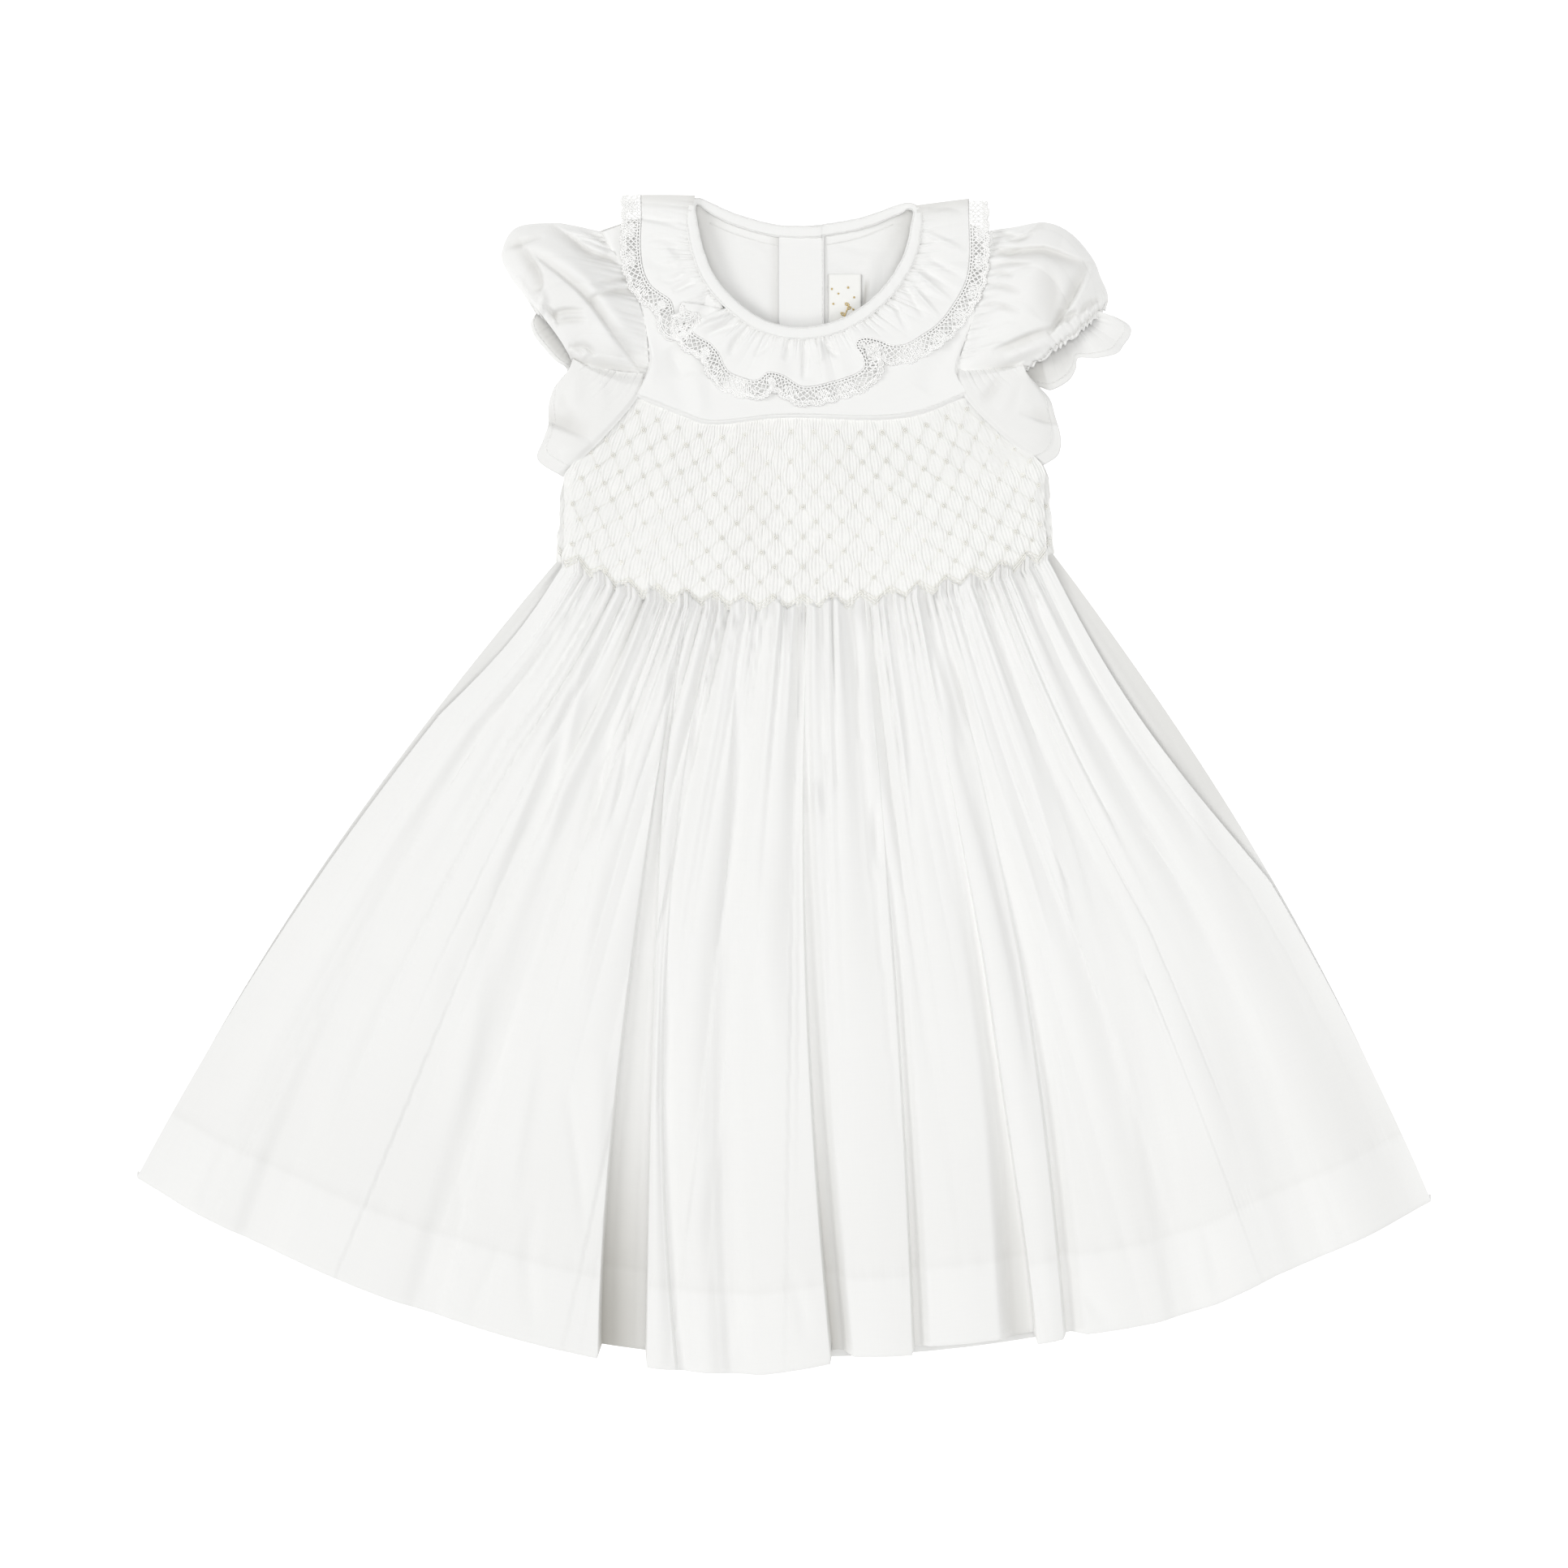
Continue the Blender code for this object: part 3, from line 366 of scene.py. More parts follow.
def skirt_plan(waist_points, share, down, drop, swung):
    """Where the cloth at that share across and down lies, seen from above, its sides swung inwards."""
    even = np.linspace(0, 1, 41)
    waist = smooth_line(waist_points, even)
    start = np.stack([np.interp(share, even, waist[:, axis]) for axis in (0, 1)], axis=-1)
    plan = between(start, hem_line(share, drop), down[..., None])
    swell = np.sin(np.pi * down) ** 0.9
    sides = [
        bulge * swell - depth * np.sin(np.pi * np.clip(down / reach, 0, 1)) - inset
        for bulge, (depth, reach, inset) in zip(SIDE_BULGE, swung)
    ]
    plan[..., 0] += sides[1] * share**6 - sides[0] * (1 - share) ** 6
    return plan


def lowest_wave(waist_points, x):
    """Where the lowest row of wave stitches in the smocking runs; the gathers start from it."""
    foot = smooth_line(waist_points, np.linspace(0, 1, 60))
    low = np.interp(x, foot[:, 0], foot[:, 1])
    place = (x - SMOCK_MIDDLE) / (1 - SMOCK_FAN * (low - 108)) / DIAMOND
    return low + WAVE_FOOT + WAVE_RISE * np.abs(2 * (place - np.floor(place)) - 1)


LIP_COLUMNS, FLOOR_COLUMNS, CRISP_LIP = 5, 5, 3
PANEL_DENSITY, FEWEST_COLUMNS = 440, 12
SKIRT_ROWS, SKIRT_LENGTH, WAIST_WIDTH = 150, 330.0, 215.0
SKIRT_CUT = (600.0, 345.0)
edges = [0.0, *(fold["hem"] for fold in SKIRT_FOLDS), 1.0]
PANEL_COLUMNS = [max(int(PANEL_DENSITY * (b - a)), FEWEST_COLUMNS) for a, b in zip(edges, edges[1:])]


def skirt_columns(down):
    """(share across, height 0 to 1, hem drop, painted shade) of every column of the skirt at one row."""
    width = between(WAIST_WIDTH, 2 * HEM_HALF_WIDTH, down)
    parts = []
    start, start_drop = 0.0, 0.0

    def add_part(places, height, drop, painted_shade_level):
        parts.append(np.broadcast_arrays(places, height, drop, painted_shade_level))

    for count, fold in zip(PANEL_COLUMNS, [*SKIRT_FOLDS, None]):
        end, end_drop = 1.0, 0.0
        if fold is not None:
            centre = between(fold["waist"], fold["hem"], down)
            centre += fold["bend"] * math.sin(math.pi * down) / width
            opening = float(ease((down - fold["starts"]) / (1 - fold["starts"])))
            half = between(0.4, fold["width"] / 2, opening ** fold["spread"]) / width
            narrow = between(0.3, 1.0, float(ease(down / 0.5)))
            lips = [max(lip * narrow, 0.8) / width for lip in fold["lips"]]
            depth = fold["depth"] * between(0.15, 1.0, float(ease((down - fold["starts"] + 0.1) * 3)))
            bottom = LIP_HEIGHT * (1 - depth)
            end, (end_drop, within, after) = centre - half - lips[0], fold["drops"]
        t = np.linspace(0, 1, count)
        crown = LIP_HEIGHT + (1 - LIP_HEIGHT) * np.sin(np.pi * t)
        add_part(between(start, end, t), crown, between(start_drop, end_drop, t), 0.0)
        if fold is None:
            break
        t = np.linspace(0, 1, LIP_COLUMNS + 2)[1:-1]
        fall, rise = (
            between(LIP_HEIGHT, bottom, t**2.4 if lip < CRISP_LIP else ease(t)) for lip in fold["lips"]
        )
        # Shade painted into this fold's trough and onto its lips, more as the trough opens.
        trough_shade = fold["trough_shade"] * opening
        add_part(end + lips[0] * t, fall, between(end_drop, within, t), trough_shade * t)
        flat = np.linspace(0, 1, FLOOR_COLUMNS)
        add_part(centre + half * (2 * flat - 1), bottom, within, trough_shade * (1 - 0.6 * flat))
        start = centre + half + lips[1]
        add_part(centre + half + lips[1] * t, rise[::-1], between(within, after, t), 0.4 * trough_shade * (1 - t))
        start_drop = after
    return [np.concatenate(values) for values in zip(*parts)]


# Gathers from the finest to the broadest: their width and reach down as shares of the skirt, their
# height, how fast it grows towards the hem, their sway, their seed and how soft their valleys are.
SKIRT_GATHERS = (
    (0.0075, 0.07, 1.5, 0.0, 0.0, 10, 0.6),
    (0.011, 0.15, 2.2, 0.0, 0.0, 11, 0.6),
    (0.018, 0.40, 2.5, 0.0, 0.002, 12, 0.8),
    (0.029, 0.85, 2.9, 0.2, 0.003, 13, 1.1),
    (0.050, 1.35, 2.7, 0.5, 0.004, 14, 1.4),
    (0.090, 1.70, 3.0, 0.7, 0.006, 15, 1.6),
)
HEM_STEP, HEM_LINE, TUCKED = 0.35, 1.1, 6.6

downs = np.linspace(0, 1, SKIRT_ROWS) ** 1.15
rows = [skirt_columns(down) for down in downs]
share, crown, drop, painted_shade_level = (np.array(values) for values in zip(*rows))
down = np.broadcast_to(downs[:, None], share.shape)
plan = skirt_plan(FRONT_WAIST, share, down, drop, FRONT_SWUNG)
rise = between(FOLD_AT_WAIST, FOLD_AT_HEM, down**0.8)
roll = ease(share / SIDE_ROLL) * ease((1 - share) / SIDE_ROLL)
growth = 1 + 1.4 * down
folds = []
for pitch, longest, size, power, sway, seed, soft in SKIRT_GATHERS:
    swayed = share + sway * np.sin(3 * down + seed)
    folds.append(size * growth**power * gather_heights(swayed, down, pitch, longest, seed, soft))
soft = sum(folds)
firm = np.minimum(crown / LIP_HEIGHT, 1.0)
height = rise * crown * roll + (soft * firm + 0.6 * ease(down / 0.05)) * np.clip(roll * 1.5, 0.15, 1)
height += crease_heights(plan, SKIRT_CREASES) * firm
height += 1.4 * (1 - ease(down / 0.06))
puckers = 0.10 * np.sin(share * 2100 + 3 * np.sin(share * 90)) + 0.14 * np.sin(share * 330 + 2)
above_turn = (1 - down) * SKIRT_LENGTH - HEM_DEPTH
band = ease((1.5 - above_turn) / 3)
height += HEM_STEP * band + puckers * np.exp(-((above_turn / 5) ** 2))
front_grid = lifted(plan, np.maximum(FRONT_LOWEST + height, BACK_TOP + 0.5))
# How far up and how far below the hem's edge each row of the cloth turned up behind it lies.
turned_up = ((-0.25, 0.25), (0.1, 0.6), (1.2, 0.85), (3.0, 0.95))
turn = [front_grid[-1] + np.array([0.0, up, -low]) for up, low in turned_up]
turn = [lifted(row[:, :2], np.maximum(row[:, 2], BACK_TOP + 0.15)) for row in turn]
tuck = [front_grid[0] + np.array([0.0, up, 0.0]) for up in np.linspace(TUCKED, 0.5, 11)]
for row in tuck:
    sunk = row[:, 2] - 2.8 * ease((row[:, 1] - lowest_wave(FRONT_WAIST, row[:, 0]) - 0.5) / 1.3)
    row[:, 2] = np.maximum(sunk, BACK_TOP)
# Shade painted into the skirt's colour: in the troughs of the folds, deepest towards the hem, in the valleys
# of the gathers and along the top of the hem; above the hem's doubled band the single cloth is a little
# darker towards the hem.
skirt_painted_shade = painted_shade_level * between(0.16, 0.75, ease((down - 0.6) / 0.4)) * ease((down - 0.1) / 0.2)
skirt_painted_shade += 0.035 * (1 - band) * ease((down - 0.6) / 0.3) + 0.014 * np.clip(-soft, 0, 4)
skirt_painted_shade += 0.11 * np.clip(-folds[0] - folds[1], 0, 1.4) + 0.06 * np.exp(-((above_turn / HEM_LINE) ** 2))
skirt_painted_shade = np.pad(skirt_painted_shade, ((len(tuck), len(turn)), (0, 0)), mode="edge")
front_grid = np.vstack([tuck, front_grid, turn])
lay_cloth("skirt_front_cloth", "skirt_front", front_grid, white_lawn, SKIRT_CUT, painted_shade=skirt_painted_shade)

# Skirt back -------------------------------------------------------------------------------------
# The back of the skirt, a second width of lawn. It lies flat on the surface below the front and
# shows along both sides, where the front has swung inwards.

BACK_DROP = -3.0
BACK_SWUNG = ((0.0, 1.0, 0.7), (0.0, 1.0, 0.7))
BACK_WAIST = (
    (-98.6, 96.0), (-80.1, 89.3), (-62.0, 81.6), (-12.2, 75.6), (36.8, 77.8), (88.2, 89.4), (116.5, 99.4)
)

SKIRT_BACK_ROWS, SKIRT_COLUMNS = 90, 320
share, down = np.meshgrid(np.linspace(0, 1, SKIRT_COLUMNS), np.linspace(0, 1, SKIRT_BACK_ROWS))
plan = skirt_plan(BACK_WAIST, share, down, BACK_DROP * np.sin(np.pi * share), BACK_SWUNG)
waves = sum(
    size * gather_heights(share, down, pitch, longest, seed)
    for pitch, longest, size, seed in ((0.02, 0.35, 0.55, 31), (0.035, 0.9, 0.45, 32))
)
edge = np.minimum(share, 1 - share)
side_pleat = 0.9 * np.exp(-(((edge - 0.022 - 0.01 * down) / 0.007) ** 2)) * np.sin(np.pi * down)
back_z = 0.75 + np.clip(waves, -0.5, 0.45) + side_pleat * ease(edge / 0.01)
in_shade = np.exp(-((edge / 0.06) ** 2)) * np.where(share > 0.5, 0.26 * (1 - ease((down - 0.35) / 0.2)), 0.14)
back_grid = lifted(plan, np.clip(back_z, 0.15, 1.9))
lay_cloth("skirt_back_cloth", "skirt_back", back_grid, white_lawn, SKIRT_CUT, painted_shade=in_shade)

# Smocked bodice ---------------------------------------------------------------------------------
# The tops of both skirt widths, drawn up into fine pleats and smocked with cream cotton: a knot
# wherever two pleats are caught together, and three rows of waves along the lower edge.

YOKE_SEAM = (
    (-63.7, 166.8), (-44.1, 159.1), (-30.0, 155.2), (0.0, 158.0),
    (39.2, 157.3), (59.1, 159.8), (79.1, 167.8),
)
FRONT_LEFT_SIDE = ((-63.7, 166.8), (-80.0, 148.0), (-93.8, 134.0), (-94.6, 115.0), (-95.6, 93.2))
FRONT_RIGHT_SIDE = ((79.1, 167.8), (95.0, 151.4), (111.2, 137.0), (111.8, 120.0), (113.6, 96.4))
BACK_LEFT_SIDE = ((-63.7, 166.8), (-80.0, 148.0), (-94.5, 132.0), (-96.9, 114.0), (-98.6, 96.0))
BACK_RIGHT_SIDE = ((79.1, 167.8), (95.0, 151.4), (112.0, 137.0), (114.8, 120.5), (116.5, 99.4))
PLEATS_IN_DIAMOND, MOST_PLEATS, DIAMONDS_LEFT = 8, 400, 20
SMOCK_ROWS, WAVE_ROWS, WAVE_POINTS = 13, 3, 560
KNOT_LIFT, WAVE_LIFT, WAVE_STEP = 0.74, 0.85, 1.35
KNOT_RING, KNOT_THREAD, LATTICE_THREAD, WAVE_THREAD = 0.00088, 0.00030, 0.00007, 0.00024


def fill(top, bottom, left, right, across, down):
    """A grid of points that fills four boundary curves, at those shares across and down."""
    top, bottom = smooth_line(top, across), smooth_line(bottom, across)
    left, right = smooth_line(left, down), smooth_line(right, down)
    s, t = across[None, :, None], np.asarray(down)[:, None, None]
    sides = between(left[:, None], right[:, None], s)
    ends = between(top[None], bottom[None], t)
    corners = between(between(top[0], top[-1], s), between(bottom[0], bottom[-1], s), t)
    return sides + ends - corners


def pleat_and_row(xy, waist):
    """How many diamonds from the middle and how many rows down a point of the smocking lies."""
    seam = smooth_line(YOKE_SEAM, np.linspace(0, 1, 60))
    foot = smooth_line(waist, np.linspace(0, 1, 60))
    x, y = xy[..., 0], xy[..., 1]
    top, bottom = np.interp(x, seam[:, 0], seam[:, 1]), np.interp(x, foot[:, 0], foot[:, 1])
    pleat = (x - SMOCK_MIDDLE) / (1 - SMOCK_FAN * (y - 110)) / DIAMOND
    return pleat, (top - y) / (top - bottom) * SMOCK_ROWS


def smocked(xy, waist, base, seed):
    """The pleated cloth over those points: rounded pleats, caught together at every knot."""
    chance = np.random.default_rng(seed)
    pleat, row = pleat_and_row(xy, waist)
    sway = 0.012 * np.sin(1.3 * row + 2.1 * pleat) + 0.008 * np.sin(2.9 * row - 3.7 * pleat)
    count = (pleat + sway + DIAMONDS_LEFT) * PLEATS_IN_DIAMOND
    number = np.floor(count).astype(int)
    thickness = chance.uniform(0.8, 1.2, MOST_PLEATS)[number]
    phase = chance.uniform(0, 6, MOST_PLEATS)[number]
    depth = thickness * (1 + 0.10 * np.sin(2.2 * row + phase))
    t = 2 * (count - number) - 1
    tube = depth * np.sqrt(np.clip(1 - t**2, 0, 1))
    lattice = np.cos(2 * np.pi * pleat) * np.cos(np.pi * row)
    shift = -0.36 * np.sin(2 * np.pi * pleat) * np.cos(np.pi * row)
    flat = ease(np.clip(row, 0, 1) / 0.25)
    x, y = xy[..., 0], xy[..., 1]
    height = base + flat * (0.75 * tube - 0.05 * lattice) + 0.3 * np.sin(x / 17 + seed) * np.sin(y / 13)
    return np.stack([x + flat * shift, y, height], axis=-1)


def knot_places(waist, left, right, base):
    """Where two pleats are caught together: alternate pleats in alternate rows."""
    places = {}
    left, right = (smooth_line(side, np.linspace(0, 1, 40)) for side in (left, right))
    for row in range(1, SMOCK_ROWS):
        for half in range(-26, 27):
            if (half + row) % 2:
                continue
            xy = np.array([SMOCK_MIDDLE + half / 2 * DIAMOND, 110.0])
            for _ in range(6):
                pleat, found = pleat_and_row(xy, waist)
                xy = xy + np.array([(half / 2 - pleat) * DIAMOND * 0.9, (found - row) * 6.0])
            low, high = (np.interp(-xy[1], -side[:, 1], side[:, 0]) for side in (left, right))
            if low + 1.5 < xy[0] < high - 1.5:
                places[half, row] = np.array([*xy, base + KNOT_LIFT])
    return places


def new_tree(name, inputs):
    """A geometry node tree with its named inputs, and a maker of nodes that links what it is given."""
    tree = bpy.data.node_groups.new(name, "GeometryNodeTree")
    tree.interface.new_socket("Geometry", in_out="INPUT", socket_type="NodeSocketGeometry")
    for socket, kind in inputs.items():
        tree.interface.new_socket(socket, in_out="INPUT", socket_type="NodeSocket" + kind)
    tree.interface.new_socket("Geometry", in_out="OUTPUT", socket_type="NodeSocketGeometry")
    source = tree.nodes.new("NodeGroupInput")

    def node(kind, settings=None, inputs=None, output=0):
        made = tree.nodes.new(kind)
        for setting, value in (settings or {}).items():
            setattr(made, setting, value)
        for socket, value in (inputs or {}).items():
            if isinstance(value, bpy.types.NodeSocket):
                tree.links.new(value, made.inputs[socket])
            else:
                made.inputs[socket].default_value = value
        return made.outputs[output] if made.outputs else None

    return tree, source.outputs, node


def finish_tree(node, geometry, material):
    smooth = node("GeometryNodeSetShadeSmooth", {}, {"Geometry": geometry})
    real = node("GeometryNodeRealizeInstances", {}, {"Geometry": smooth})
    painted = node("GeometryNodeSetMaterial", {}, {"Geometry": real, "Material": material})
    node("NodeGroupOutput", {}, {0: painted})


def make_thread_tree():
    """Lines become round threads."""
    tree, inputs, node = new_tree("round_thread", {"Radius": "Float", "Sides": "Int", "Material": "Material"})
    lines = node("GeometryNodeMeshToCurve", {}, {"Mesh": inputs["Geometry"]})
    ring = node("GeometryNodeCurvePrimitiveCircle", {},
                {"Resolution": inputs["Sides"], "Radius": inputs["Radius"]})
    thread = node("GeometryNodeCurveToMesh", {}, {"Curve": lines, "Profile Curve": ring, "Fill Caps": True})
    finish_tree(node, thread, inputs["Material"])
    return tree


def make_knot_tree():
    """A small rosette of wrapped thread on every point, each turned and sized a little differently."""
    tree, inputs, node = new_tree(
        "smocking_knot", {"Ring": "Float", "Thread": "Float", "Seed": "Int", "Material": "Material"}
    )
    section = node("GeometryNodeCurvePrimitiveCircle", {}, {"Resolution": 4, "Radius": inputs["Thread"]})
    heart = node("ShaderNodeMath", {"operation": "MULTIPLY"}, {0: inputs["Ring"], 1: 0.3})
    loops = []
    for radius, sides in ((inputs["Ring"], 9), (heart, 5)):
        ring = node("GeometryNodeCurvePrimitiveCircle", {}, {"Resolution": sides, "Radius": radius})
        loops.append(node("GeometryNodeCurveToMesh", {}, {"Curve": ring, "Profile Curve": section}))
    join = tree.nodes.new("GeometryNodeJoinGeometry")
    for loop in loops:
        tree.links.new(loop, join.inputs[0])
    turn = node("FunctionNodeRandomValue", {"data_type": "FLOAT_VECTOR"},
                {0: (-0.25, -0.25, -3.1), 1: (0.25, 0.25, 3.1), "Seed": inputs["Seed"]})
    size = node("FunctionNodeRandomValue", {"data_type": "FLOAT_VECTOR"},
                {0: (0.85, 0.8, 0.9), 1: (1.15, 1.1, 1.2), "Seed": inputs["Seed"]})
    points = node("GeometryNodeMeshToPoints", {}, {"Mesh": inputs["Geometry"]})
    sewn = node("GeometryNodeInstanceOnPoints", {},
                {"Points": points, "Instance": join.outputs[0], "Rotation": turn, "Scale": size})
    finish_tree(node, sewn, inputs["Material"])
    return tree


def join_lines(lines):
    """All points of several lines, and the links along each of them."""
    points, links = [], []
    for line in lines:
        links += [(len(points) + index, len(points) + index + 1) for index in range(len(line) - 1)]
        points += list(np.asarray(line))
    return points, links


def grow(name, slot, lines, tree, **inputs):
    """A plain mesh of what the tree makes along those lines, or on them where they are single points."""
    points, links = join_lines(lines)
    mesh = bpy.data.meshes.new(name)
    mesh.from_pydata((np.asarray(points) * MM).tolist(), links, [])
    piece = bpy.data.objects.new(name, mesh)
    bpy.context.scene.collection.objects.link(piece)
    modifier = piece.modifiers.new(name, "NODES")
    modifier.node_group = tree
    for item in tree.interface.items_tree:
        if item.in_out == "INPUT" and item.name in inputs:
            modifier[item.identifier] = inputs[item.name]
    graph = bpy.context.evaluated_depsgraph_get()
    made = bpy.data.meshes.new_from_object(piece.evaluated_get(graph))
    piece.modifiers.clear()
    if made.materials[0] is None:
        made.materials.pop(index=0)
    piece.data = made
    sew_on(piece)
    return piece


def make_thread_finish(name, colour, twist, painted_glow=0.0):
    """Twisted cotton thread; its glow is painted light, an emission that stands in for the daylight that gets
    through fine threads.
    """
    material, shade, shader = new_material(name, {
        "Emission Color": (*colour, 1.0), "Emission Strength": painted_glow, "Roughness": 0.7, "Sheen Weight": 0.3,
    })
    ply = shade.noise(Scale=twist, Detail=2.0)
    dark = tuple(channel * 0.88 for channel in colour)
    plug(ply.colour_between(dark, colour), shader, "Base Color")
    plug_bump(ply, shader, 0.3, 0.0002)
    return material


def make_zigzags(waist, left, right, base):
    """Three rows of wave stitches, their peaks under the knots of the last row."""
    x = np.linspace(left + 1.2, right - 1.2, WAVE_POINTS)
    lines = []
    for number in range(WAVE_ROWS):
        y = lowest_wave(waist, x) + WAVE_STEP * number
        ply = 0.12 * np.sin(np.arange(len(x)) * 1.9 + number)
        lines.append(np.stack([x, y + ply, base + WAVE_LIFT + ply], axis=-1))
    return lines


# The smocked cloth is the same lawn, painted a little paler than the plain lawn to lighten the shade among
# its pleats; the shade painted into its hollows is lighter too.
smocked_lawn = make_lawn("smocked_cloth", (0.905, 0.905, 0.885), (0.62, 0.60, 0.54), sheen=0.2)
# The smocking thread glows a little: painted light in place of the light that gets through it.
smocking_thread = make_thread_finish("cream_smocking_thread", (0.92, 0.912, 0.862), 5200.0, painted_glow=0.04)
thread_tree = make_thread_tree()
knot_tree = make_knot_tree()

# Each half: its sides and waist, how high it lies and how much lower at its sides, its mesh, its seed.
for name, left, right, waist, base, side_drop, columns, rows, seed in (
    ("smocking_front", FRONT_LEFT_SIDE, FRONT_RIGHT_SIDE, FRONT_WAIST, 4.3, 1.6, 880, 84, 5),
    ("smocking_back", BACK_LEFT_SIDE, BACK_RIGHT_SIDE, BACK_WAIST, 1.2, 0.6, 600, 60, 6),
):
    across, down = np.linspace(0, 1, columns), np.linspace(0, 1, rows)
    flat = fill(YOKE_SEAM, waist, left, right, across, down)
    x, y = flat[..., 0], flat[..., 1]
    cloth = smocked(flat, waist, base, seed)
    low_down = ease((down[:, None] - 0.4) * 4)
    at_side = 1 - ease(np.minimum(across, across[::-1]) / 0.02)
    cloth[..., 2] -= side_drop * low_down * at_side
    cloth[..., 2] -= 2.6 * ease((lowest_wave(waist, x) - 0.3 - y) / 1.4)
    cloth[..., 2] = np.maximum(cloth[..., 2], 0.1)
    # Shade painted into the colour: in the slits between the pleats, and in a soft band left of the middle
    # towards the yoke seam.
    count = pleat_and_row(flat, waist)[0] * PLEATS_IN_DIAMOND
    slit = np.abs(2 * (count - np.floor(count)) - 1) ** 4
    band = np.exp(-(((x + 14) / 7) ** 2)) * ease((y - 95) / 20)
    lay_cloth(name + "_cloth", name, cloth, smocked_lawn, (330.0, 85.0),
              painted_shade=0.02 * slit + 0.05 * band)

    knots = knot_places(waist, left, right, base)
    grow(name + "_knots", "smocked_lawn", [[knot] for knot in knots.values()], knot_tree,
         Ring=KNOT_RING, Thread=KNOT_THREAD, Seed=seed, Material=smocking_thread)
    lines = []
    for (half, row), start in knots.items():
        for other in ((half - 1, row + 1), (half + 1, row + 1)):
            if other in knots:
                t = np.linspace(0, 1, 7)[:, None]
                line = between(start, knots[other], t)
                line[:, 2] += 0.1 * np.sin(np.pi * t[:, 0])
                lines.append(line)
    grow(name + "_lattice", "smocked_lawn", lines, thread_tree,
         Radius=LATTICE_THREAD, Sides=3, Material=smocking_thread)
    grow(name + "_waves", "smocked_lawn", make_zigzags(waist, waist[0][0], waist[-1][0], base), thread_tree,
         Radius=WAVE_THREAD, Sides=4, Material=smocking_thread)

# Front yoke -------------------------------------------------------------------------------------
# A horseshoe of plain lawn round the front of the neck, from shoulder to shoulder, seamed to the
# smocking and the sleeves with its edge turned under.

LEFT_ARMHOLE = (
    (-78.0, 237.5), (-71.8, 224.9), (-64.8, 213.0), (-58.1, 189.5), (-57.4, 180.0), (-63.7, 166.8)
)
RIGHT_ARMHOLE = (
    (89.4, 237.5), (89.0, 226.0), (84.6, 207.0), (76.8, 188.5), (73.8, 177.5), (79.1, 167.8)
)
NECK_LEFT = ((-42.6, 250.0), (-42.9, 240.0), (-39.6, 225.6), (-35.2, 214.2), (-27.1, 204.2))
NECK_FRONT = (
    (-27.1, 204.2), (-18.8, 197.0), (-8.9, 192.1), (5.5, 190.2), (22.6, 192.4), (32.6, 197.1), (46.2, 207.0)
)
NECK_RIGHT = ((46.2, 207.0), (56.2, 221.0), (59.7, 234.0), (60.6, 247.0))
YOKE_CREASES = [
    (-1.8, 3, 4, (-49.3, 187.4), (-46.5, 181.8), (-42.3, 174.8)),
    (-0.8, 4, 5, (-50.8, 183.9), (-45.1, 169.9), (-40.9, 160.1)),
    (1.3, 3, 4, (-38.1, 176.9), (-36.8, 165.7), (-34.6, 157)),
    (-1.5, 7, 6, (74.5, 189.2), (66.8, 179.7), (59.1, 169.2)),
    (0.8, 3, 3, (80.1, 183.9), (75.9, 176.2)),
    (0.8, 3, 3, (-58.4, 190.9), (-56.3, 180.4), (-58.4, 170.6)),
]

YOKE_COLUMNS, YOKE_ROWS, SHOULDER_COLUMNS = (60, 150, 60), 56, 34

neck, edge = [], []
sides = (LEFT_ARMHOLE, YOKE_SEAM, tuple(reversed(RIGHT_ARMHOLE)))
for count, inner, outer in zip(YOKE_COLUMNS, (NECK_LEFT, NECK_FRONT, NECK_RIGHT), sides):
    places = np.linspace(0, 1, count)[1 if neck else 0 :]
    neck.append(smooth_line(inner, places))
    edge.append(smooth_line(outer, places))
neck, edge = np.vstack(neck), np.vstack(edge)
out = np.linspace(0, 1, YOKE_ROWS)[:, None]
flat = between(neck[None], edge[None], out[..., None])
shoulder = np.arange(len(neck))[None, :]
shoulder = ease(np.minimum(shoulder, len(neck) - 1 - shoulder) / SHOULDER_COLUMNS)
z = between(4.9, between(7.5, 6.5, ease(out)), shoulder) + crease_heights(flat, YOKE_CREASES)
z += 0.18 * np.sin(flat[..., 0] / 9 + 1) * np.sin(flat[..., 1] / 7)
z -= 0.5 * ease((out - 0.965) / 0.035)
yoke = lifted(flat, z)
outwards = unit((yoke[-1] - yoke[-2])[:, :2])
turned_under = ((0.3, 0.9), (2.2, 2.8))
seam = [lifted(yoke[-1, :, :2] + outwards * past, yoke[-1, :, 2] - low) for past, low in turned_under]
lay_cloth("yoke_front_cloth", "yoke_front", np.vstack([yoke, seam]), white_lawn, (300.0, 48.0))

# Back yoke, placket and label -------------------------------------------------------------------
# Two halves of lawn behind the neck, lapped down the middle in a button placket of folded strips.
# A narrow satin tape is sewn inside, woven with a plain gold sprig.

PLACKET_LEFT, PLACKET_RIGHT = -2.5, 17.9
PLACKET_TOP, PLACKET_FOOT = 236.8, 159.2
INSIDE_HEIGHT, INSIDE_STEPS = 3.4, 70
LABEL_LEFT, LABEL_RIGHT, LABEL_TOP, LABEL_FOOT = 18.9, 33.6, 219.2, 188.0
BACK_NECK_LEFT = ((-79.0, 238.2), (-43.0, 249.4), (-33.0, 246.6), (-20.0, 241.0), (-1.0, 237.4))
BACK_NECK_RIGHT = ((15.0, 236.8), (32.5, 240.2), (50.0, 246.6), (60.0, 247.0), (88.0, 237.0))
BACK_FOOT_LEFT = ((-63.5, 167.4), (-44.1, 160.0), (-30.0, 156.4), (-1.0, 158.6))
BACK_FOOT_RIGHT = ((15.0, 158.8), (39.2, 158.2), (59.1, 160.7), (79.0, 168.6))
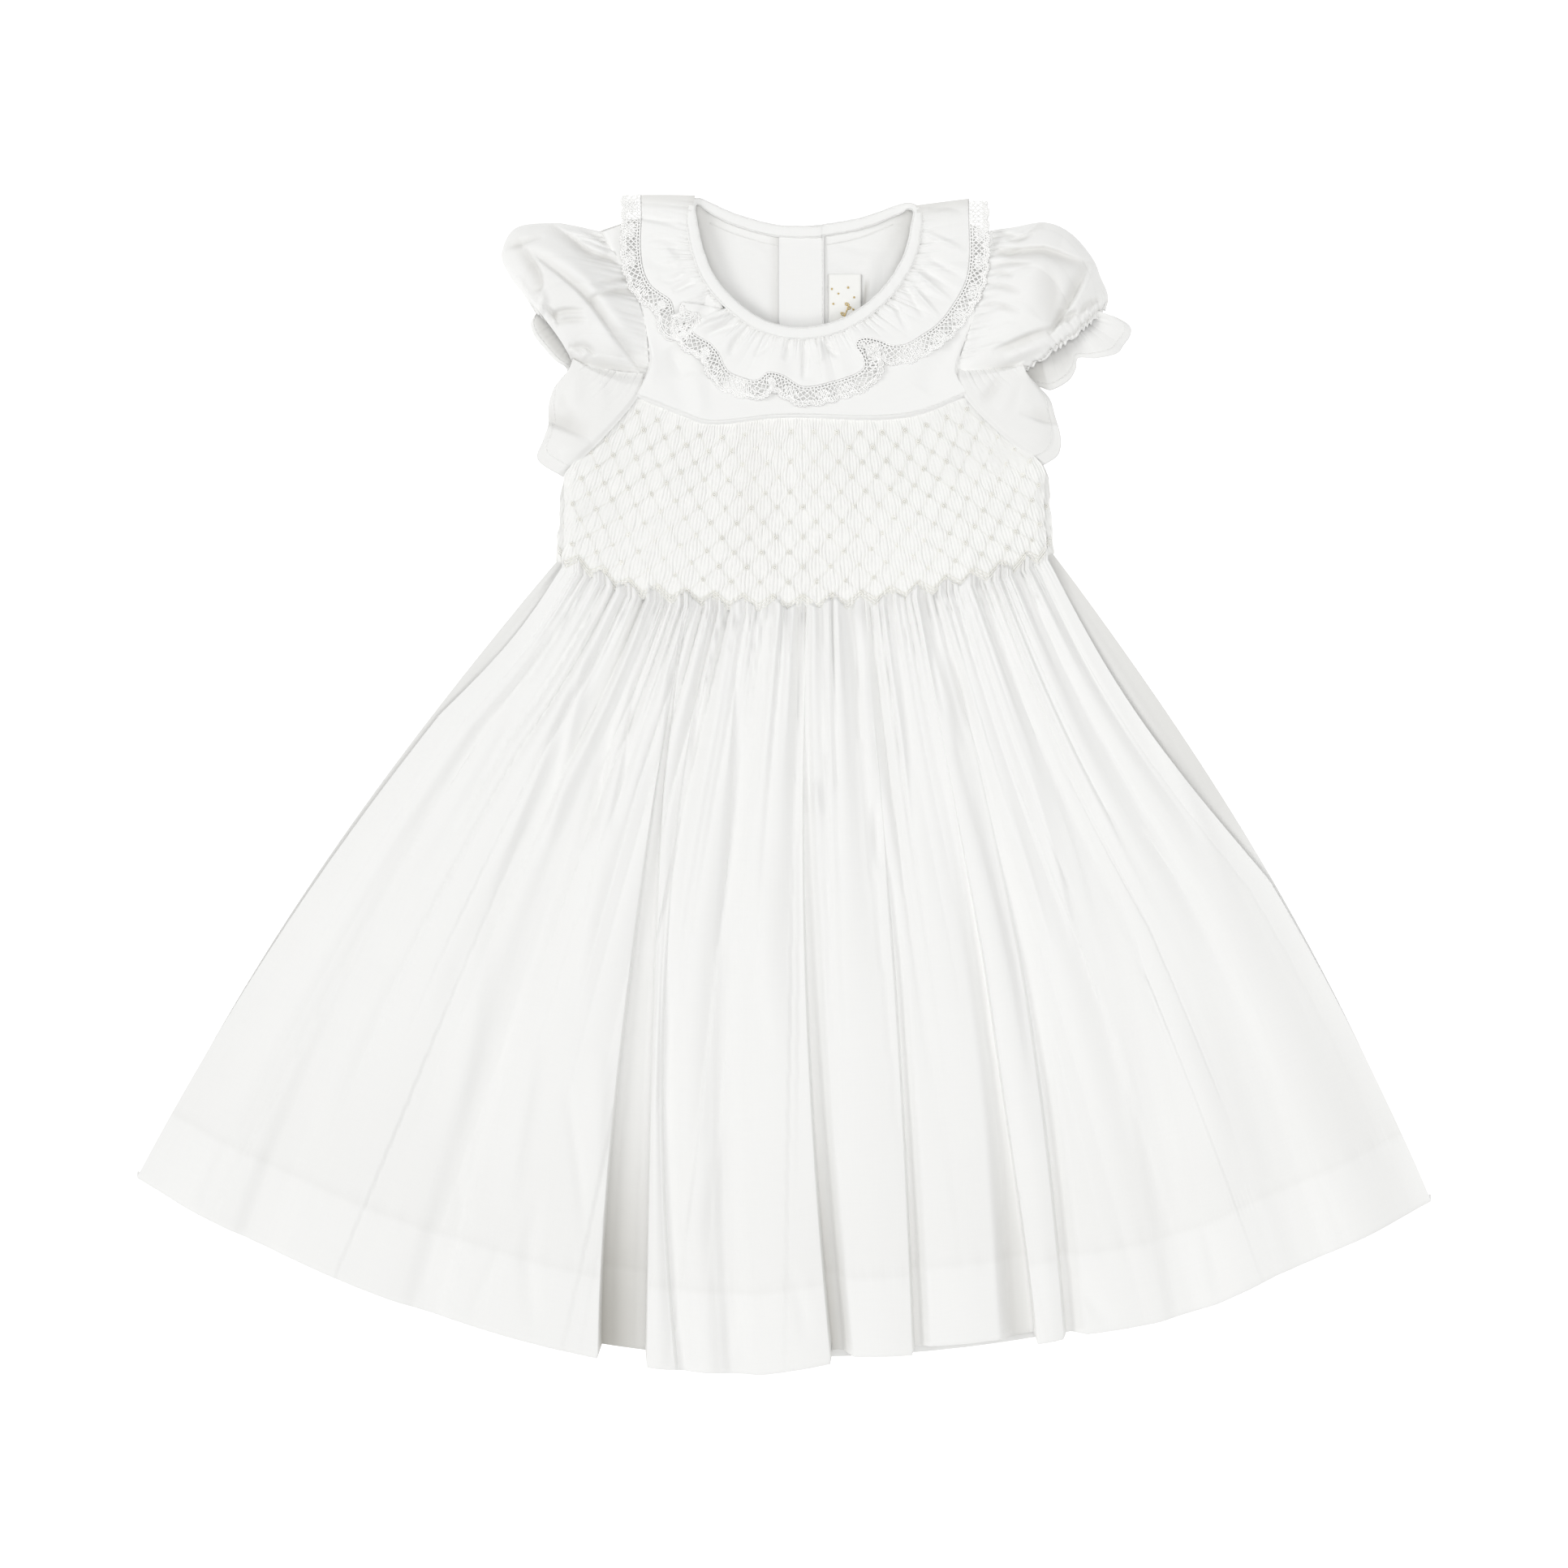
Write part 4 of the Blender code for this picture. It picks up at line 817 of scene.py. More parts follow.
INSIDE_CREASES = [
    (-0.8, 1.6, 3.0, (22.0, 233.0), (34.0, 230.0), (44.0, 232.0)),
    (-0.9, 1.4, 2.4, (20.0, 222.6), (30.0, 221.4), (37.0, 224.0)),
    (-1.3, 3.0, 5.0, (38.0, 212.0), (44.0, 226.0), (50.0, 238.0)),
    (0.6, 3.0, 3.0, (-12.0, 226.0), (-8.0, 214.0), (-8.0, 200.0)),
    (-1.0, 3.0, 5.0, (-32.0, 238.0), (-27.0, 224.0), (-18.0, 210.0)),
    (0.7, 2.0, 2.6, (-20.0, 232.0), (-12.0, 230.0), (-6.0, 226.0)),
]

across = down = np.linspace(0, 1, INSIDE_STEPS)
halves = (("left", BACK_NECK_LEFT, BACK_FOOT_LEFT), ("right", BACK_NECK_RIGHT, BACK_FOOT_RIGHT))
for side, top, foot in halves:
    left, right = (top[0], foot[0]), (top[-1], foot[-1])
    if side == "left":
        left = (top[0], *LEFT_ARMHOLE[1:-1], foot[0])
    else:
        right = (top[-1], *RIGHT_ARMHOLE[1:-1], foot[-1])
    flat = fill(top, foot, left, right, across, down)
    x, y = flat[..., 0], flat[..., 1]
    z = INSIDE_HEIGHT + crease_heights(flat, INSIDE_CREASES) + 0.15 * np.sin(x / 5) * np.sin(y / 8)
    from_edge = x + 36 if side == "left" else 54 - x
    # Shade painted into the colour: a narrow shadow right of the label, shade towards each side of the neck
    # opening, a shadow left of the placket's edge and a touch all over.
    label_shadow = np.exp(-(((x - 34.9 - 0.12 * (y - 210)) / 0.9) ** 2))
    label_shadow *= ease((y - 200) / 5) * ease((219 - y) / 6)
    painted_shade = 0.22 * np.exp(-((np.clip(from_edge, 0, None) / 8) ** 2)) + 0.02
    painted_shade += 0.16 * np.exp(-(((x + 4.0) / 1.6) ** 2)) + 0.6 * label_shadow
    name = f"yoke_back_{side}"
    lay_cloth(name + "_cloth", name, lifted(flat, z), white_lawn, (84.0, 90.0), painted_shade=painted_shade)


def make_strip(left, right, top, foot, height, bulge, columns, rows):
    """A folded strip of cloth: its front, its two rolled edges and the turnings behind them."""
    share = np.linspace(0, 1, columns)
    x = np.concatenate([[left + 1.2, left + 0.25], between(left, right, share), [right - 0.25, right - 1.2]])
    x, y = np.meshgrid(x, np.linspace(top, foot, rows))
    z = height + bulge * np.sin(y / 6.1 + x / 4.0) * np.sin(y / 17.0)
    z[:, [0, -1]] -= 0.6
    z[:, [1, -2]] -= 0.25
    return np.stack([x, y, z], axis=-1)


# Each strip: its sides, how high it lies, how much it cockles, its mesh and the width it is cut.
for name, left, right, height, bulge, columns, rows, width in (
    ("placket_over", PLACKET_LEFT, PLACKET_RIGHT - 0.3, 4.3, 0.12, 24, 60, 22.8),
    ("placket_under", PLACKET_LEFT + 0.4, PLACKET_RIGHT - 2.9, 2.9, 0.05, 12, 20, 19.8),
):
    strip = make_strip(left, right, PLACKET_TOP, PLACKET_FOOT, height, bulge, columns, rows)
    lay_cloth(name + "_cloth", name, strip, white_lawn, (width, 77.6))

satin, shade, shader = new_material("label_satin", {"Roughness": 0.38, "Sheen Weight": 0.2})
tape = shade.node("ShaderNodeUVMap", {"uv_map": "cloth"})
weft = {"Vector": tape, "Scale": 900.0, "Distortion": 0.4}
ribs = shade.node("ShaderNodeTexWave", {"bands_direction": "Y"}, weft)
plug((ribs * 0.5).colour_between((0.83, 0.83, 0.80), (0.88, 0.88, 0.865)), shader, "Base Color")
plug_bump(ribs, shader, 0.15, 0.0001)
strip = make_strip(LABEL_LEFT, LABEL_RIGHT, LABEL_TOP, LABEL_FOOT, 3.85, 0.10, 14, 30)
lay_cloth("neck_label_tape", "neck_label", strip, satin, (17.2, 31.2))

gold_thread, shade, shader = new_material("gold_thread", {"Metallic": 0.35, "Roughness": 0.45})
plug(shade.noise(Scale=3000.0).colour_between((0.62, 0.47, 0.20), (0.80, 0.65, 0.34)), shader, "Base Color")

# Each stem with the places of its pairs of leaves along it.
SPRIG_STEMS = (
    (((24.6, 190.5), (25, 196), (26.2, 201.5), (28, 206.4)), (0.06, 0.22, 0.38, 0.54, 0.70, 0.86, 0.98)),
    (((20.4, 189), (20.6, 192.5), (21.4, 196), (22.6, 199)), (0.1, 0.4, 0.7, 0.96)),
)
SPRIG_DOTS = ((20.6, 213.0), (23.4, 211.0), (27.6, 213.6), (30.2, 209.4), (29.8, 204.2), (21.2, 206.6))
SPRIG_HEIGHT, DOT_HEIGHT, SPRIG_THREAD = 4.08, 4.05, 0.00026
lines = []
for stem, leaves in SPRIG_STEMS:
    lines.append(lifted(smooth_line(stem, np.linspace(0, 1, 14)), SPRIG_HEIGHT))
    for number, place in enumerate(leaves):
        root = smooth_line(stem, [place])[0]
        reach = (2.6 - 1.1 * place) * (1.0 if len(leaves) > 4 else 0.6)
        lean = np.array([1.0 if number % 2 else -1.0, 0.55])
        for bend in (0.55, -0.35):
            t = np.linspace(0, 1, 7)[:, None]
            leaf = root + lean * reach * t + np.array([-lean[1], lean[0]]) * bend * np.sin(np.pi * t)
            lines.append(lifted(leaf, SPRIG_HEIGHT))
grow("label_sprig", "woven_label", lines, thread_tree, Radius=SPRIG_THREAD, Sides=4, Material=gold_thread)
grow("label_dots", "woven_label", [[(x, y, DOT_HEIGHT)] for x, y in SPRIG_DOTS], knot_tree,
     Ring=0.0003, Thread=0.00022, Seed=3, Material=gold_thread)

# Buttons ----------------------------------------------------------------------------------------
# Three pearly four-hole buttons on the outside of the back placket, face down on the surface, each
# sewn through with a cross of thread.

BUTTON_ROWS_Y = (224.0, 198.0, 172.0)
BUTTON_X, BUTTON_SIDES, HOLE_RADIUS, TIE_THREAD = 7.0, 48, 0.42, 0.00022
HOLES = ((0.95, 0.95), (-0.95, 0.95), (-0.95, -0.95), (0.95, -0.95))
# Radius and height of the outline, from the middle of the face over the rim to the middle of the back.
BUTTON_OUTLINE = np.array([
    (0.05, 0.45), (0.5, 0.45), (0.9, 0.45), (1.3, 0.45), (1.7, 0.45), (2.1, 0.45), (2.6, 0.42), (3.0, 0.25),
    (3.5, 0.05), (4.1, 0.0), (4.55, 0.2), (4.8, 0.7), (4.75, 1.3), (4.4, 1.75), (3.6, 1.9), (1.5, 1.9),
    (0.05, 1.9),
])
pearl, shade, shader = new_material("pearl_shell", {"Roughness": 0.22, "Coat Weight": 0.4})
cloud = shade.noise(Scale=260.0, Detail=4.0, Distortion=1.5)
plug(cloud.colour_between((0.74, 0.71, 0.68), (0.90, 0.89, 0.87)), shader, "Base Color")

turn = np.linspace(0, 2 * np.pi, BUTTON_SIDES + 1)[:-1][None, :]
for number, row_y in enumerate(BUTTON_ROWS_Y, start=1):
    x, y = BUTTON_OUTLINE[:, :1] * np.cos(turn), BUTTON_OUTLINE[:, :1] * np.sin(turn)
    z = BUTTON_OUTLINE[:, 1:] + 0 * turn
    for hole_x, hole_y in HOLES:
        dent = np.exp(-((np.hypot(x - hole_x, y - hole_y) / HOLE_RADIUS) ** 4))
        z = np.where(z < 1.0, z + 1.0 * dent, z)
    grid = np.stack([x + BUTTON_X, y + row_y, z], axis=-1)
    name = f"button_{number}"
    lay_cloth(name + "_shell", name, grid[::-1], pearl, closed=True)
    cross = []
    for first, second in zip(HOLES[:2], HOLES[2:]):
        t = np.linspace(0, 1, 6)
        line = between(np.array(first), np.array(second), t[:, None]) + np.array([BUTTON_X, row_y])
        cross.append(lifted(line, 0.75 - 0.45 * np.sin(np.pi * t)))
    grow(name + "_thread", "shell_button", cross, thread_tree,
         Radius=TIE_THREAD, Sides=5, Material=smocking_thread)

# Sleeves ----------------------------------------------------------------------------------------
# Short puffs of lawn, gathered into the armhole and again along a narrow elastic sewn inside. They
# lie crushed, with long creases from the shoulder to the elastic.

# Sections from the armhole to the elastic: upper and lower end, bow towards +X, and how high it stands.
SLEEVES = {
    "left": (
        (-78.4, 236.6, -58.6, 174.6, 6.6, 3.4), (-90.0, 239.2, -66.0, 176.4, 4.0, 10.5),
        (-99.6, 240.4, -72.0, 177.0, 2.0, 14.5), (-115.0, 238.2, -77.6, 177.6, 0.0, 15.5),
        (-120.8, 227.0, -82.4, 178.0, 0.0, 14.0), (-117.2, 217.6, -86.6, 178.4, 0.6, 10.5),
        (-111.6, 210.0, -89.8, 179.0, 2.0, 7.0), (-106.8, 202.4, -92.0, 179.8, 4.0, 3.4),
    ),
    "right": (
        (88.6, 237.0, 73.0, 176.4, 2.0, 3.4), (99.0, 238.6, 80.0, 177.2, 2.2, 10.5),
        (112.0, 240.6, 86.4, 178.2, 2.0, 14.5), (122.8, 236.0, 91.4, 178.0, 0.0, 15.5),
        (132.0, 225.4, 95.8, 178.0, 0.0, 14.0), (135.4, 217.2, 99.0, 177.8, 0.6, 10.5),
        (138.4, 209.6, 101.6, 177.6, 1.4, 7.0), (137.2, 203.2, 103.8, 178.0, 2.4, 3.4),
    ),
}
PUFF_RIM = 1.6
SLEEVE_CREASES = {
    "left": [
        (-1.7, 3.6, 0.9, (-115.0, 234.0), (-108.9, 226.2), (-104.4, 218.8), (-103.6, 212.4), (-106.5, 206.0)),
        (-1.7, 0.9, 4.2, (-111.6, 230.1), (-97.6, 219.6), (-83.6, 207), (-71.8, 190.9), (-58.2, 174.0)),
        (1.3, 3, 4, (-113.7, 234.3), (-96.9, 225.2), (-79.4, 209.1), (-67.2, 194.4)),
        (-1.7, 3.6, 0.9, (-101.0, 241.5), (-90.6, 234.4), (-83.3, 228.9), (-70.4, 224.2)),
        (1.4, 2, 2, (-93.4, 239.9), (-82.9, 234.3), (-75.2, 228.7)),
        (-1.6, 2.4, 0.8, (-84.5, 206.4), (-78.8, 209.6), (-72.0, 211.6), (-60.0, 212.6)),
        (-1.0, 1.8, 0.8, (-82.0, 214.0), (-72.0, 216.6), (-60.0, 217.4)),
        (-1.5, 2.6, 0.8, (-101.0, 199.4), (-94.6, 202.6), (-85.0, 202.4)),
        (-1.2, 2.0, 0.8, (-98.0, 196.4), (-93.0, 198.8), (-84.0, 198.6)),
        (1.6, 2.5, 2, (-104.6, 211.2), (-103.2, 204.9), (-106, 199.3)),
        (1.6, 4, 2, (-114.4, 217.2), (-109.2, 207.7), (-103.2, 200.7)),
        (-1.6, 1.0, 3.2, (-86.6, 181.6), (-79.0, 179.2), (-70.3, 177.4), (-58.2, 177.0)),
        (-1.3, 0.8, 1.8, (-90.0, 188.2), (-84.6, 187.0), (-80.8, 183.6)),
        (0.9, 4, 4, (-79.4, 197.9), (-68.9, 183.9)),
        (-1.4, 1.6, 1.6, (-92.4, 185.3), (-89.2, 181.1), (-83.6, 180.4)),
        (-1.3, 1.4, 2.2, (-120.0, 230.4), (-111.5, 232.4), (-103.0, 234.9)),
        (-1.3, 1.0, 1.6, (-93.4, 238.9), (-87.0, 238.0), (-79.0, 234.3), (-75.0, 230.8)),
        (-1.1, 1.0, 1.4, (-89.0, 234.5), (-82.0, 232.8), (-74.2, 228.2)),
        (-1.0, 0.9, 1.2, (-80.0, 226.4), (-74.5, 225.8), (-70.6, 222.6)),
        (-1.1, 0.9, 1.2, (-92.4, 187.6), (-88.6, 186.6), (-85.4, 184.2)),
        (-1.2, 0.9, 1.3, (-103.5, 205.0), (-98.0, 200.4), (-96.6, 196.4)),
    ],
    "right": [
        (-1.5, 2.6, 0.8, (90.2, 238.4), (97.0, 236.4), (102.6, 235.6), (113.0, 243.0)),
        (-1.8, 4.0, 0.9, (88.8, 230.6), (99.6, 229.2), (112.4, 229.6), (122.0, 226.0), (133.7, 223.8)),
        (1.2, 2, 2, (92.8, 234.3), (103.2, 235.7), (110.9, 239.9)),
        (-1.7, 4.0, 0.8, (131.6, 223.5), (127.7, 215.4), (122.1, 204.9), (114.4, 194.4)),
        (1.2, 2, 3, (134.8, 222.4), (128.4, 211.2), (124.2, 202.8)),
        (-1.1, 7, 3, (111, 222.0), (116.2, 211.2), (112, 197.7)),
        (-1.6, 3.4, 0.9, (89.0, 185.6), (98.0, 189.2), (106.0, 192.6), (116.0, 195.6)),
        (1.3, 2, 2.5, (94.8, 181.8), (103.2, 185.3), (115.1, 189.5)),
        (-1.3, 0.9, 2.6, (86.0, 176.0), (95.0, 178.2), (103.0, 182.4)),
        (-1.0, 1.6, 0.7, (86.0, 215.0), (93.0, 213.6), (101.2, 210.4)),
        (-0.9, 1.6, 0.7, (84.0, 206.2), (92.0, 205.4), (101.8, 201.5)),
        (1.3, 4, 4, (120, 234.3), (127, 230.8), (131.2, 225.2)),
        (-1.2, 0.9, 1.4, (94.8, 234.4), (100.5, 233.6), (107.0, 236.6)),
        (-1.4, 0.9, 1.5, (91.0, 229.0), (96.4, 227.4), (102.0, 229.0)),
        (-1.1, 1.6, 0.7, (88.0, 222.6), (96.0, 223.6), (106.0, 223.0)),
        (-0.9, 1.2, 0.7, (87.0, 219.4), (92.0, 219.6), (98.4, 217.6)),
        (-1.5, 0.9, 1.3, (118.6, 196.6), (120.2, 199.8), (123.4, 202.4)),
        (-1.4, 0.9, 1.3, (121.2, 197.4), (123.6, 201.0), (126.0, 203.4)),
        (-1.3, 1.1, 1.6, (113.0, 192.6), (117.0, 197.2), (119.6, 203.6)),
        (-1.3, 1.1, 1.6, (126.6, 200.0), (128.8, 204.6), (132.4, 208.4)),
        (-1.1, 0.9, 1.3, (131.0, 203.0), (133.0, 207.0), (136.6, 208.8)),
    ],
}

SLEEVE_ROWS, FRONT_COLUMNS, BACK_COLUMNS = 104, 176, 62
# Each set of gathers: its size, spacing and length, and the seed it adds.
CUFF_GATHERS = ((1.5, 0.060, 0.34, 1), (1.9, 0.036, 0.20, 6))

round_front = np.linspace(0, np.pi, FRONT_COLUMNS)
round_back = np.linspace(np.pi, 2 * np.pi, BACK_COLUMNS)[1:-1]
theta, down = np.meshgrid(np.concatenate([round_front, round_back]), np.linspace(0, 1, SLEEVE_ROWS))
share = (1 - np.cos(theta)) / 2
front = np.sin(theta) > 0
for side, seed in (("left", 41), ("right", 45)):
    rows = smooth_line(SLEEVES[side], down[:, 0])
    upper, lower, bow, swell = rows[:, None, 0:2], rows[:, None, 2:4], rows[:, 4:5], rows[:, 5:6]
    rim = unit(lower - upper) * (PUFF_RIM * np.cos(theta))[..., None]
    flat = between(upper, lower, share[..., None]) - rim
    flat[..., 0] += bow * np.sin(np.pi * share)
    arch = np.clip(np.sin(np.pi * share), 0, 1) ** 0.75
    fade = np.sqrt(np.clip(np.sin(theta), 0, 1))
    pulled = 1.9 * gather_heights(share, down, 0.038, 0.40, seed) * (0.5 + 0.7 * (1 - share))
    for size, pitch, longest, more in CUFF_GATHERS:
        pulled += size * gather_heights(share, 1 - down, pitch, longest, seed + more)
    pulled -= 1.3 * np.exp(-(((down - 0.945) / 0.016) ** 2))
    pulled += 0.9 * gather_heights(share + 0.05 * np.sin(4 * down), down * 0.5, 0.16, 1.3, seed + 2)
    creases = crease_heights(flat, SLEEVE_CREASES[side])
    z = PUFF_RIM + PUFF_RIM * np.sin(theta) + 0.86 * swell * arch + (1.15 * pulled + 1.7 * creases) * fade
    away = rows[-1, 0:2] + rows[-1, 2:4] - rows[-9, 0:2] - rows[-9, 2:4]
    ruched = 0.7 * np.sin(share * 75 + 3 * np.sin(share * 19 + seed)) * ease((down - 0.86) / 0.1)
    flat = flat + ruched[..., None] * unit(away)
    z = np.where(front, z, PUFF_RIM + 2.0 * PUFF_RIM * np.sin(theta))
    # Shade painted into the colour: in the troughs of the creases and gathers, a little over the puff beyond
    # the armhole, and over the back half, which lies underneath.
    troughs = 0.15 * np.clip(-creases, 0, 1.8) + 0.13 * np.clip(-pulled, 0, 1.5)
    gap = np.where(front, 0.04 * ease((down - 0.1) * 2) + troughs, 0.30)
    turned = slice(None, None, 1 if side == "left" else -1)
    puff = lifted(flat, np.maximum(z, 0.12))[:, turned]
    name = f"sleeve_{side}"
    lay_cloth(name + "_puff", name, puff, white_lawn, (160.0, 55.0), closed=True, painted_shade=gap[:, turned])

# Sleeve frills ----------------------------------------------------------------------------------
# The sleeve's cloth goes on below the elastic as a loose frill. Its front fans out over the smocking's
# armhole seam and its back lies on the surface; both end in a narrow stitched hem.

FRILLS = {
    "left": {
        "front_gathered": ((-90.4, 183.4), (-82.0, 180.2), (-72.0, 177.8), (-58.8, 176.6)),
        "front_free": (
            (-92.4, 177.6), (-98.6, 171.4), (-101.3, 163.0), (-101.4, 154.6), (-103.4, 148.4),
            (-106.0, 139.6), (-95.2, 132.2),
        ),
        "front_seam": ((-58.8, 176.6), (-63.9, 164.6), (-79.3, 147.0), (-95.2, 132.2)),
        "front_open": ((-90.4, 183.4), (-92.4, 177.6)),
        "back": (
            (-104.0, 205.4, -107.2, 202.4), (-102.0, 202.8, -109.2, 198.6), (-99.6, 199.2, -107.8, 193.6),
            (-96.2, 194.2, -104.0, 188.6), (-92.4, 189.4, -98.8, 182.8), (-88.0, 185.0, -93.4, 178.2),
            (-84.0, 181.0, -97.4, 170.0), (-72.0, 179.0, -99.6, 156.0), (-61.0, 177.6, -96.6, 133.4),
        ),
        "creases": [
            (-1.7, 1.6, 5.0, (-109.0, 158.4), (-99.0, 155.2), (-91.5, 152.2), (-84.0, 148.6)),
            (1.4, 3.0, 3.5, (-97.0, 141.5), (-90.0, 143.5), (-83.0, 146.0)),
            (0.8, 3.0, 4.0, (-88.0, 177.0), (-90.0, 168.0), (-95.0, 157.0)),
            (0.6, 4.0, 3.0, (-80.0, 176.0), (-78.0, 166.0), (-80.0, 156.0)),
            (-0.8, 3.0, 3.0, (-96.0, 168.0), (-92.0, 160.0), (-92.0, 154.0)),
        ],
    },
    "right": {
        "front_gathered": ((72.8, 179.6), (84.0, 179.6), (94.0, 179.6), (102.4, 180.4)),
        "front_free": (
            (111.0, 136.8), (117.4, 140.9), (119.2, 145.5), (118.8, 150.8), (116.6, 158.4), (114.3, 166.0),
            (108.4, 172.4), (104.6, 175.8),
        ),
        "front_seam": ((72.8, 179.6), (78.0, 165.8), (93.9, 149.6), (111.0, 136.8)),
        "front_open": ((102.4, 180.4), (104.6, 175.8)),
        "back": (
            (133.6, 204.6, 138.4, 201.6), (132.8, 203.6, 144.5, 200.4), (131.6, 202.4, 149.2, 197.2),
            (130.4, 201.2, 149.4, 193.4), (129.0, 200.0, 146.6, 189.4), (127.4, 198.6, 143.2, 185.4),
            (124.6, 196.4, 134.2, 183.4), (120.0, 192.8, 127.0, 183.6), (118.0, 191.2, 125.8, 179.0),
            (115.4, 189.4, 122.6, 173.8), (110.6, 186.4, 115.2, 169.8), (106.0, 183.4, 109.0, 170.6),
            (98.0, 180.6, 106.6, 160.0), (84.0, 178.0, 112.6, 137.8),
        ),
        "creases": [
            (-1.2, 1.4, 5.0, (101.0, 160.0), (108.0, 157.6), (114.0, 156.0), (124.0, 155.6)),
            (0.7, 3.0, 3.0, (98.0, 150.0), (107.0, 150.4), (116.0, 152.0)),
            (-1.0, 2.0, 3.0, (93.0, 175.5), (88.0, 168.0), (84.0, 166.0)),
            (0.9, 3.0, 3.0, (100.0, 175.5), (96.0, 166.0), (92.0, 160.0)),
            (0.6, 3.0, 4.0, (104.0, 174.0), (104.0, 164.0), (108.0, 156.0)),
        ],
    },
}


def frill_hem(grid):
    """The last few millimetres of a frill, turned under so that its hem stands a little proud."""
    step = unit(grid[-1] - grid[-2])
    turned_under = ((0.1, 0.35), (0.8, 0.6), (2.6, 0.65))
    rows = [grid[-1] - step * back - np.array([0.0, 0.0, low]) for back, low in turned_under]
    rows = [lifted(row[:, :2], np.maximum(row[:, 2], 0.05)) for row in rows]
    return np.vstack([grid, rows])


FRILL_COLUMNS, FRILL_ROWS, HEM_ROWS = 150, 84, 3
FRILL_BACK_COLUMNS, FRILL_BACK_ROWS = 260, 26
hem_paths = []
for side, table in FRILLS.items():
    left_side = side == "left"
    across, down = np.linspace(0, 1, FRILL_COLUMNS), np.linspace(0, 1, FRILL_ROWS)
    ends = (table["front_open"], table["front_seam"])[:: 1 if left_side else -1]
    flat = fill(table["front_gathered"], table["front_free"], *ends, across, down)
    s, t = np.meshgrid(across, down)
    creases = crease_heights(flat, table["creases"])
    z = between(6.3, 5.0, t) + 1.6 * np.sin(np.pi * t) + creases
    z += 1.1 * gather_heights(s, t, 0.085, 0.55, 51) + 0.5 * gather_heights(s, t, 0.04, 0.3, 52)
    z -= 2.6 * ease((t - 0.72) / 0.28) ** 2 * np.abs(np.sin(5 * s + 0.6)) ** 2
    z += 0.22 * ease((t - 0.93) / 0.02) - 3.2 * (1 - ease(t / 0.12))
    z -= 1.3 * (1 - ease((1 - s if left_side else s) / 0.06))
    grid = lifted(flat, z)
    hem_paths.append(grid[-9, 3:-3] + np.array([0.0, 0.0, 0.12]))
    # Shade painted into the colour: a little all over the frill and more in the troughs of its creases.
    painted_shade = 0.07 + np.pad(0.14 * np.clip(-creases, 0, 2), ((0, HEM_ROWS), (0, 0)))
    name = f"frill_front_{side}"
    lay_cloth(name + "_cloth", name, frill_hem(grid), white_lawn, (46.0, 40.0), painted_shade=painted_shade)

    along, out = np.linspace(0, 1, FRILL_BACK_COLUMNS), np.linspace(0, 1, FRILL_BACK_ROWS)
    pairs = smooth_line(table["back"], along)
    gathered, free = pairs[:, :2], pairs[:, 2:]
    s, t = np.meshgrid(along, out)
    flat = between(gathered[None], free[None], t[..., None])
    loose = 0.35 * np.exp(-((s / 0.3) ** 2)) if left_side else np.exp(-((s / 0.36) ** 4))
    z = 1.0 + 0.8 * gather_heights(s, t, 0.045, 1.5, 55)
    z += loose * (3.4 * np.sin(np.pi * t) ** 0.7 + 1.2 * np.sin(26 * s))
    grid = lifted(flat, np.maximum(z, 0.15))
    hem_paths.append(grid[-5, 6:190] + np.array([0.0, 0.0, 0.25]))
    shade_under, paler = (0.34, 0.85) if left_side else (0.42, 0.425)
    painted_shade = np.full((out.size + HEM_ROWS, along.size), shade_under)
    painted_shade[: out.size] *= 1 - paler * ease((t - 0.6) / 0.3)
    if not left_side:
        lobe = np.exp(-((along / 0.40) ** 10))
        painted_shade *= (1 - 0.80 * lobe) * (1 - 0.5 * ease((free[:, 0] - 113.5) / 1.5))
    name = f"frill_back_{side}"
    lay_cloth(name + "_cloth", name, frill_hem(grid), white_lawn, (110.0, 30.0), painted_shade=painted_shade)

# Neck binding -----------------------------------------------------------------------------------
# A bias strip folded over the raw neck edge and the top of the ruffle, felled by machine along both
# of its edges.

# The middle line of the band and its width.
BINDING = (
    (16.0, 237.6, 4.4, 5.4), (-3.0, 238.0, 4.2, 5.4), (-21.0, 242.8, 4.2, 5.2), (-32.0, 248.0, 4.3, 4.4),
    (-36.4, 250.4, 5.2, 3.2), (-39.4, 248.6, 7.6, 3.4), (-39.6, 241.0, 8.6, 5.0), (-36.6, 227.0, 8.8, 5.6),
    (-30.6, 214.4, 8.8, 5.6), (-18.6, 202.2, 8.8, 5.6), (-5.6, 195.2, 8.8, 5.6), (9.9, 193.4, 8.8, 5.6),
    (27.4, 198.0, 8.8, 5.6), (43.4, 210.0, 8.8, 5.6), (53.6, 225.6, 8.8, 5.6), (57.0, 240.4, 8.6, 5.0),
    (56.8, 246.4, 7.6, 3.4), (53.4, 248.4, 5.2, 3.2), (48.6, 246.8, 4.3, 4.4), (32.5, 241.0, 4.2, 5.2),
    (11.0, 237.4, 4.1, 5.4),
)
BINDING_THICK, BINDING_ROWS, BINDING_COLUMNS = 3.0, 420, 21

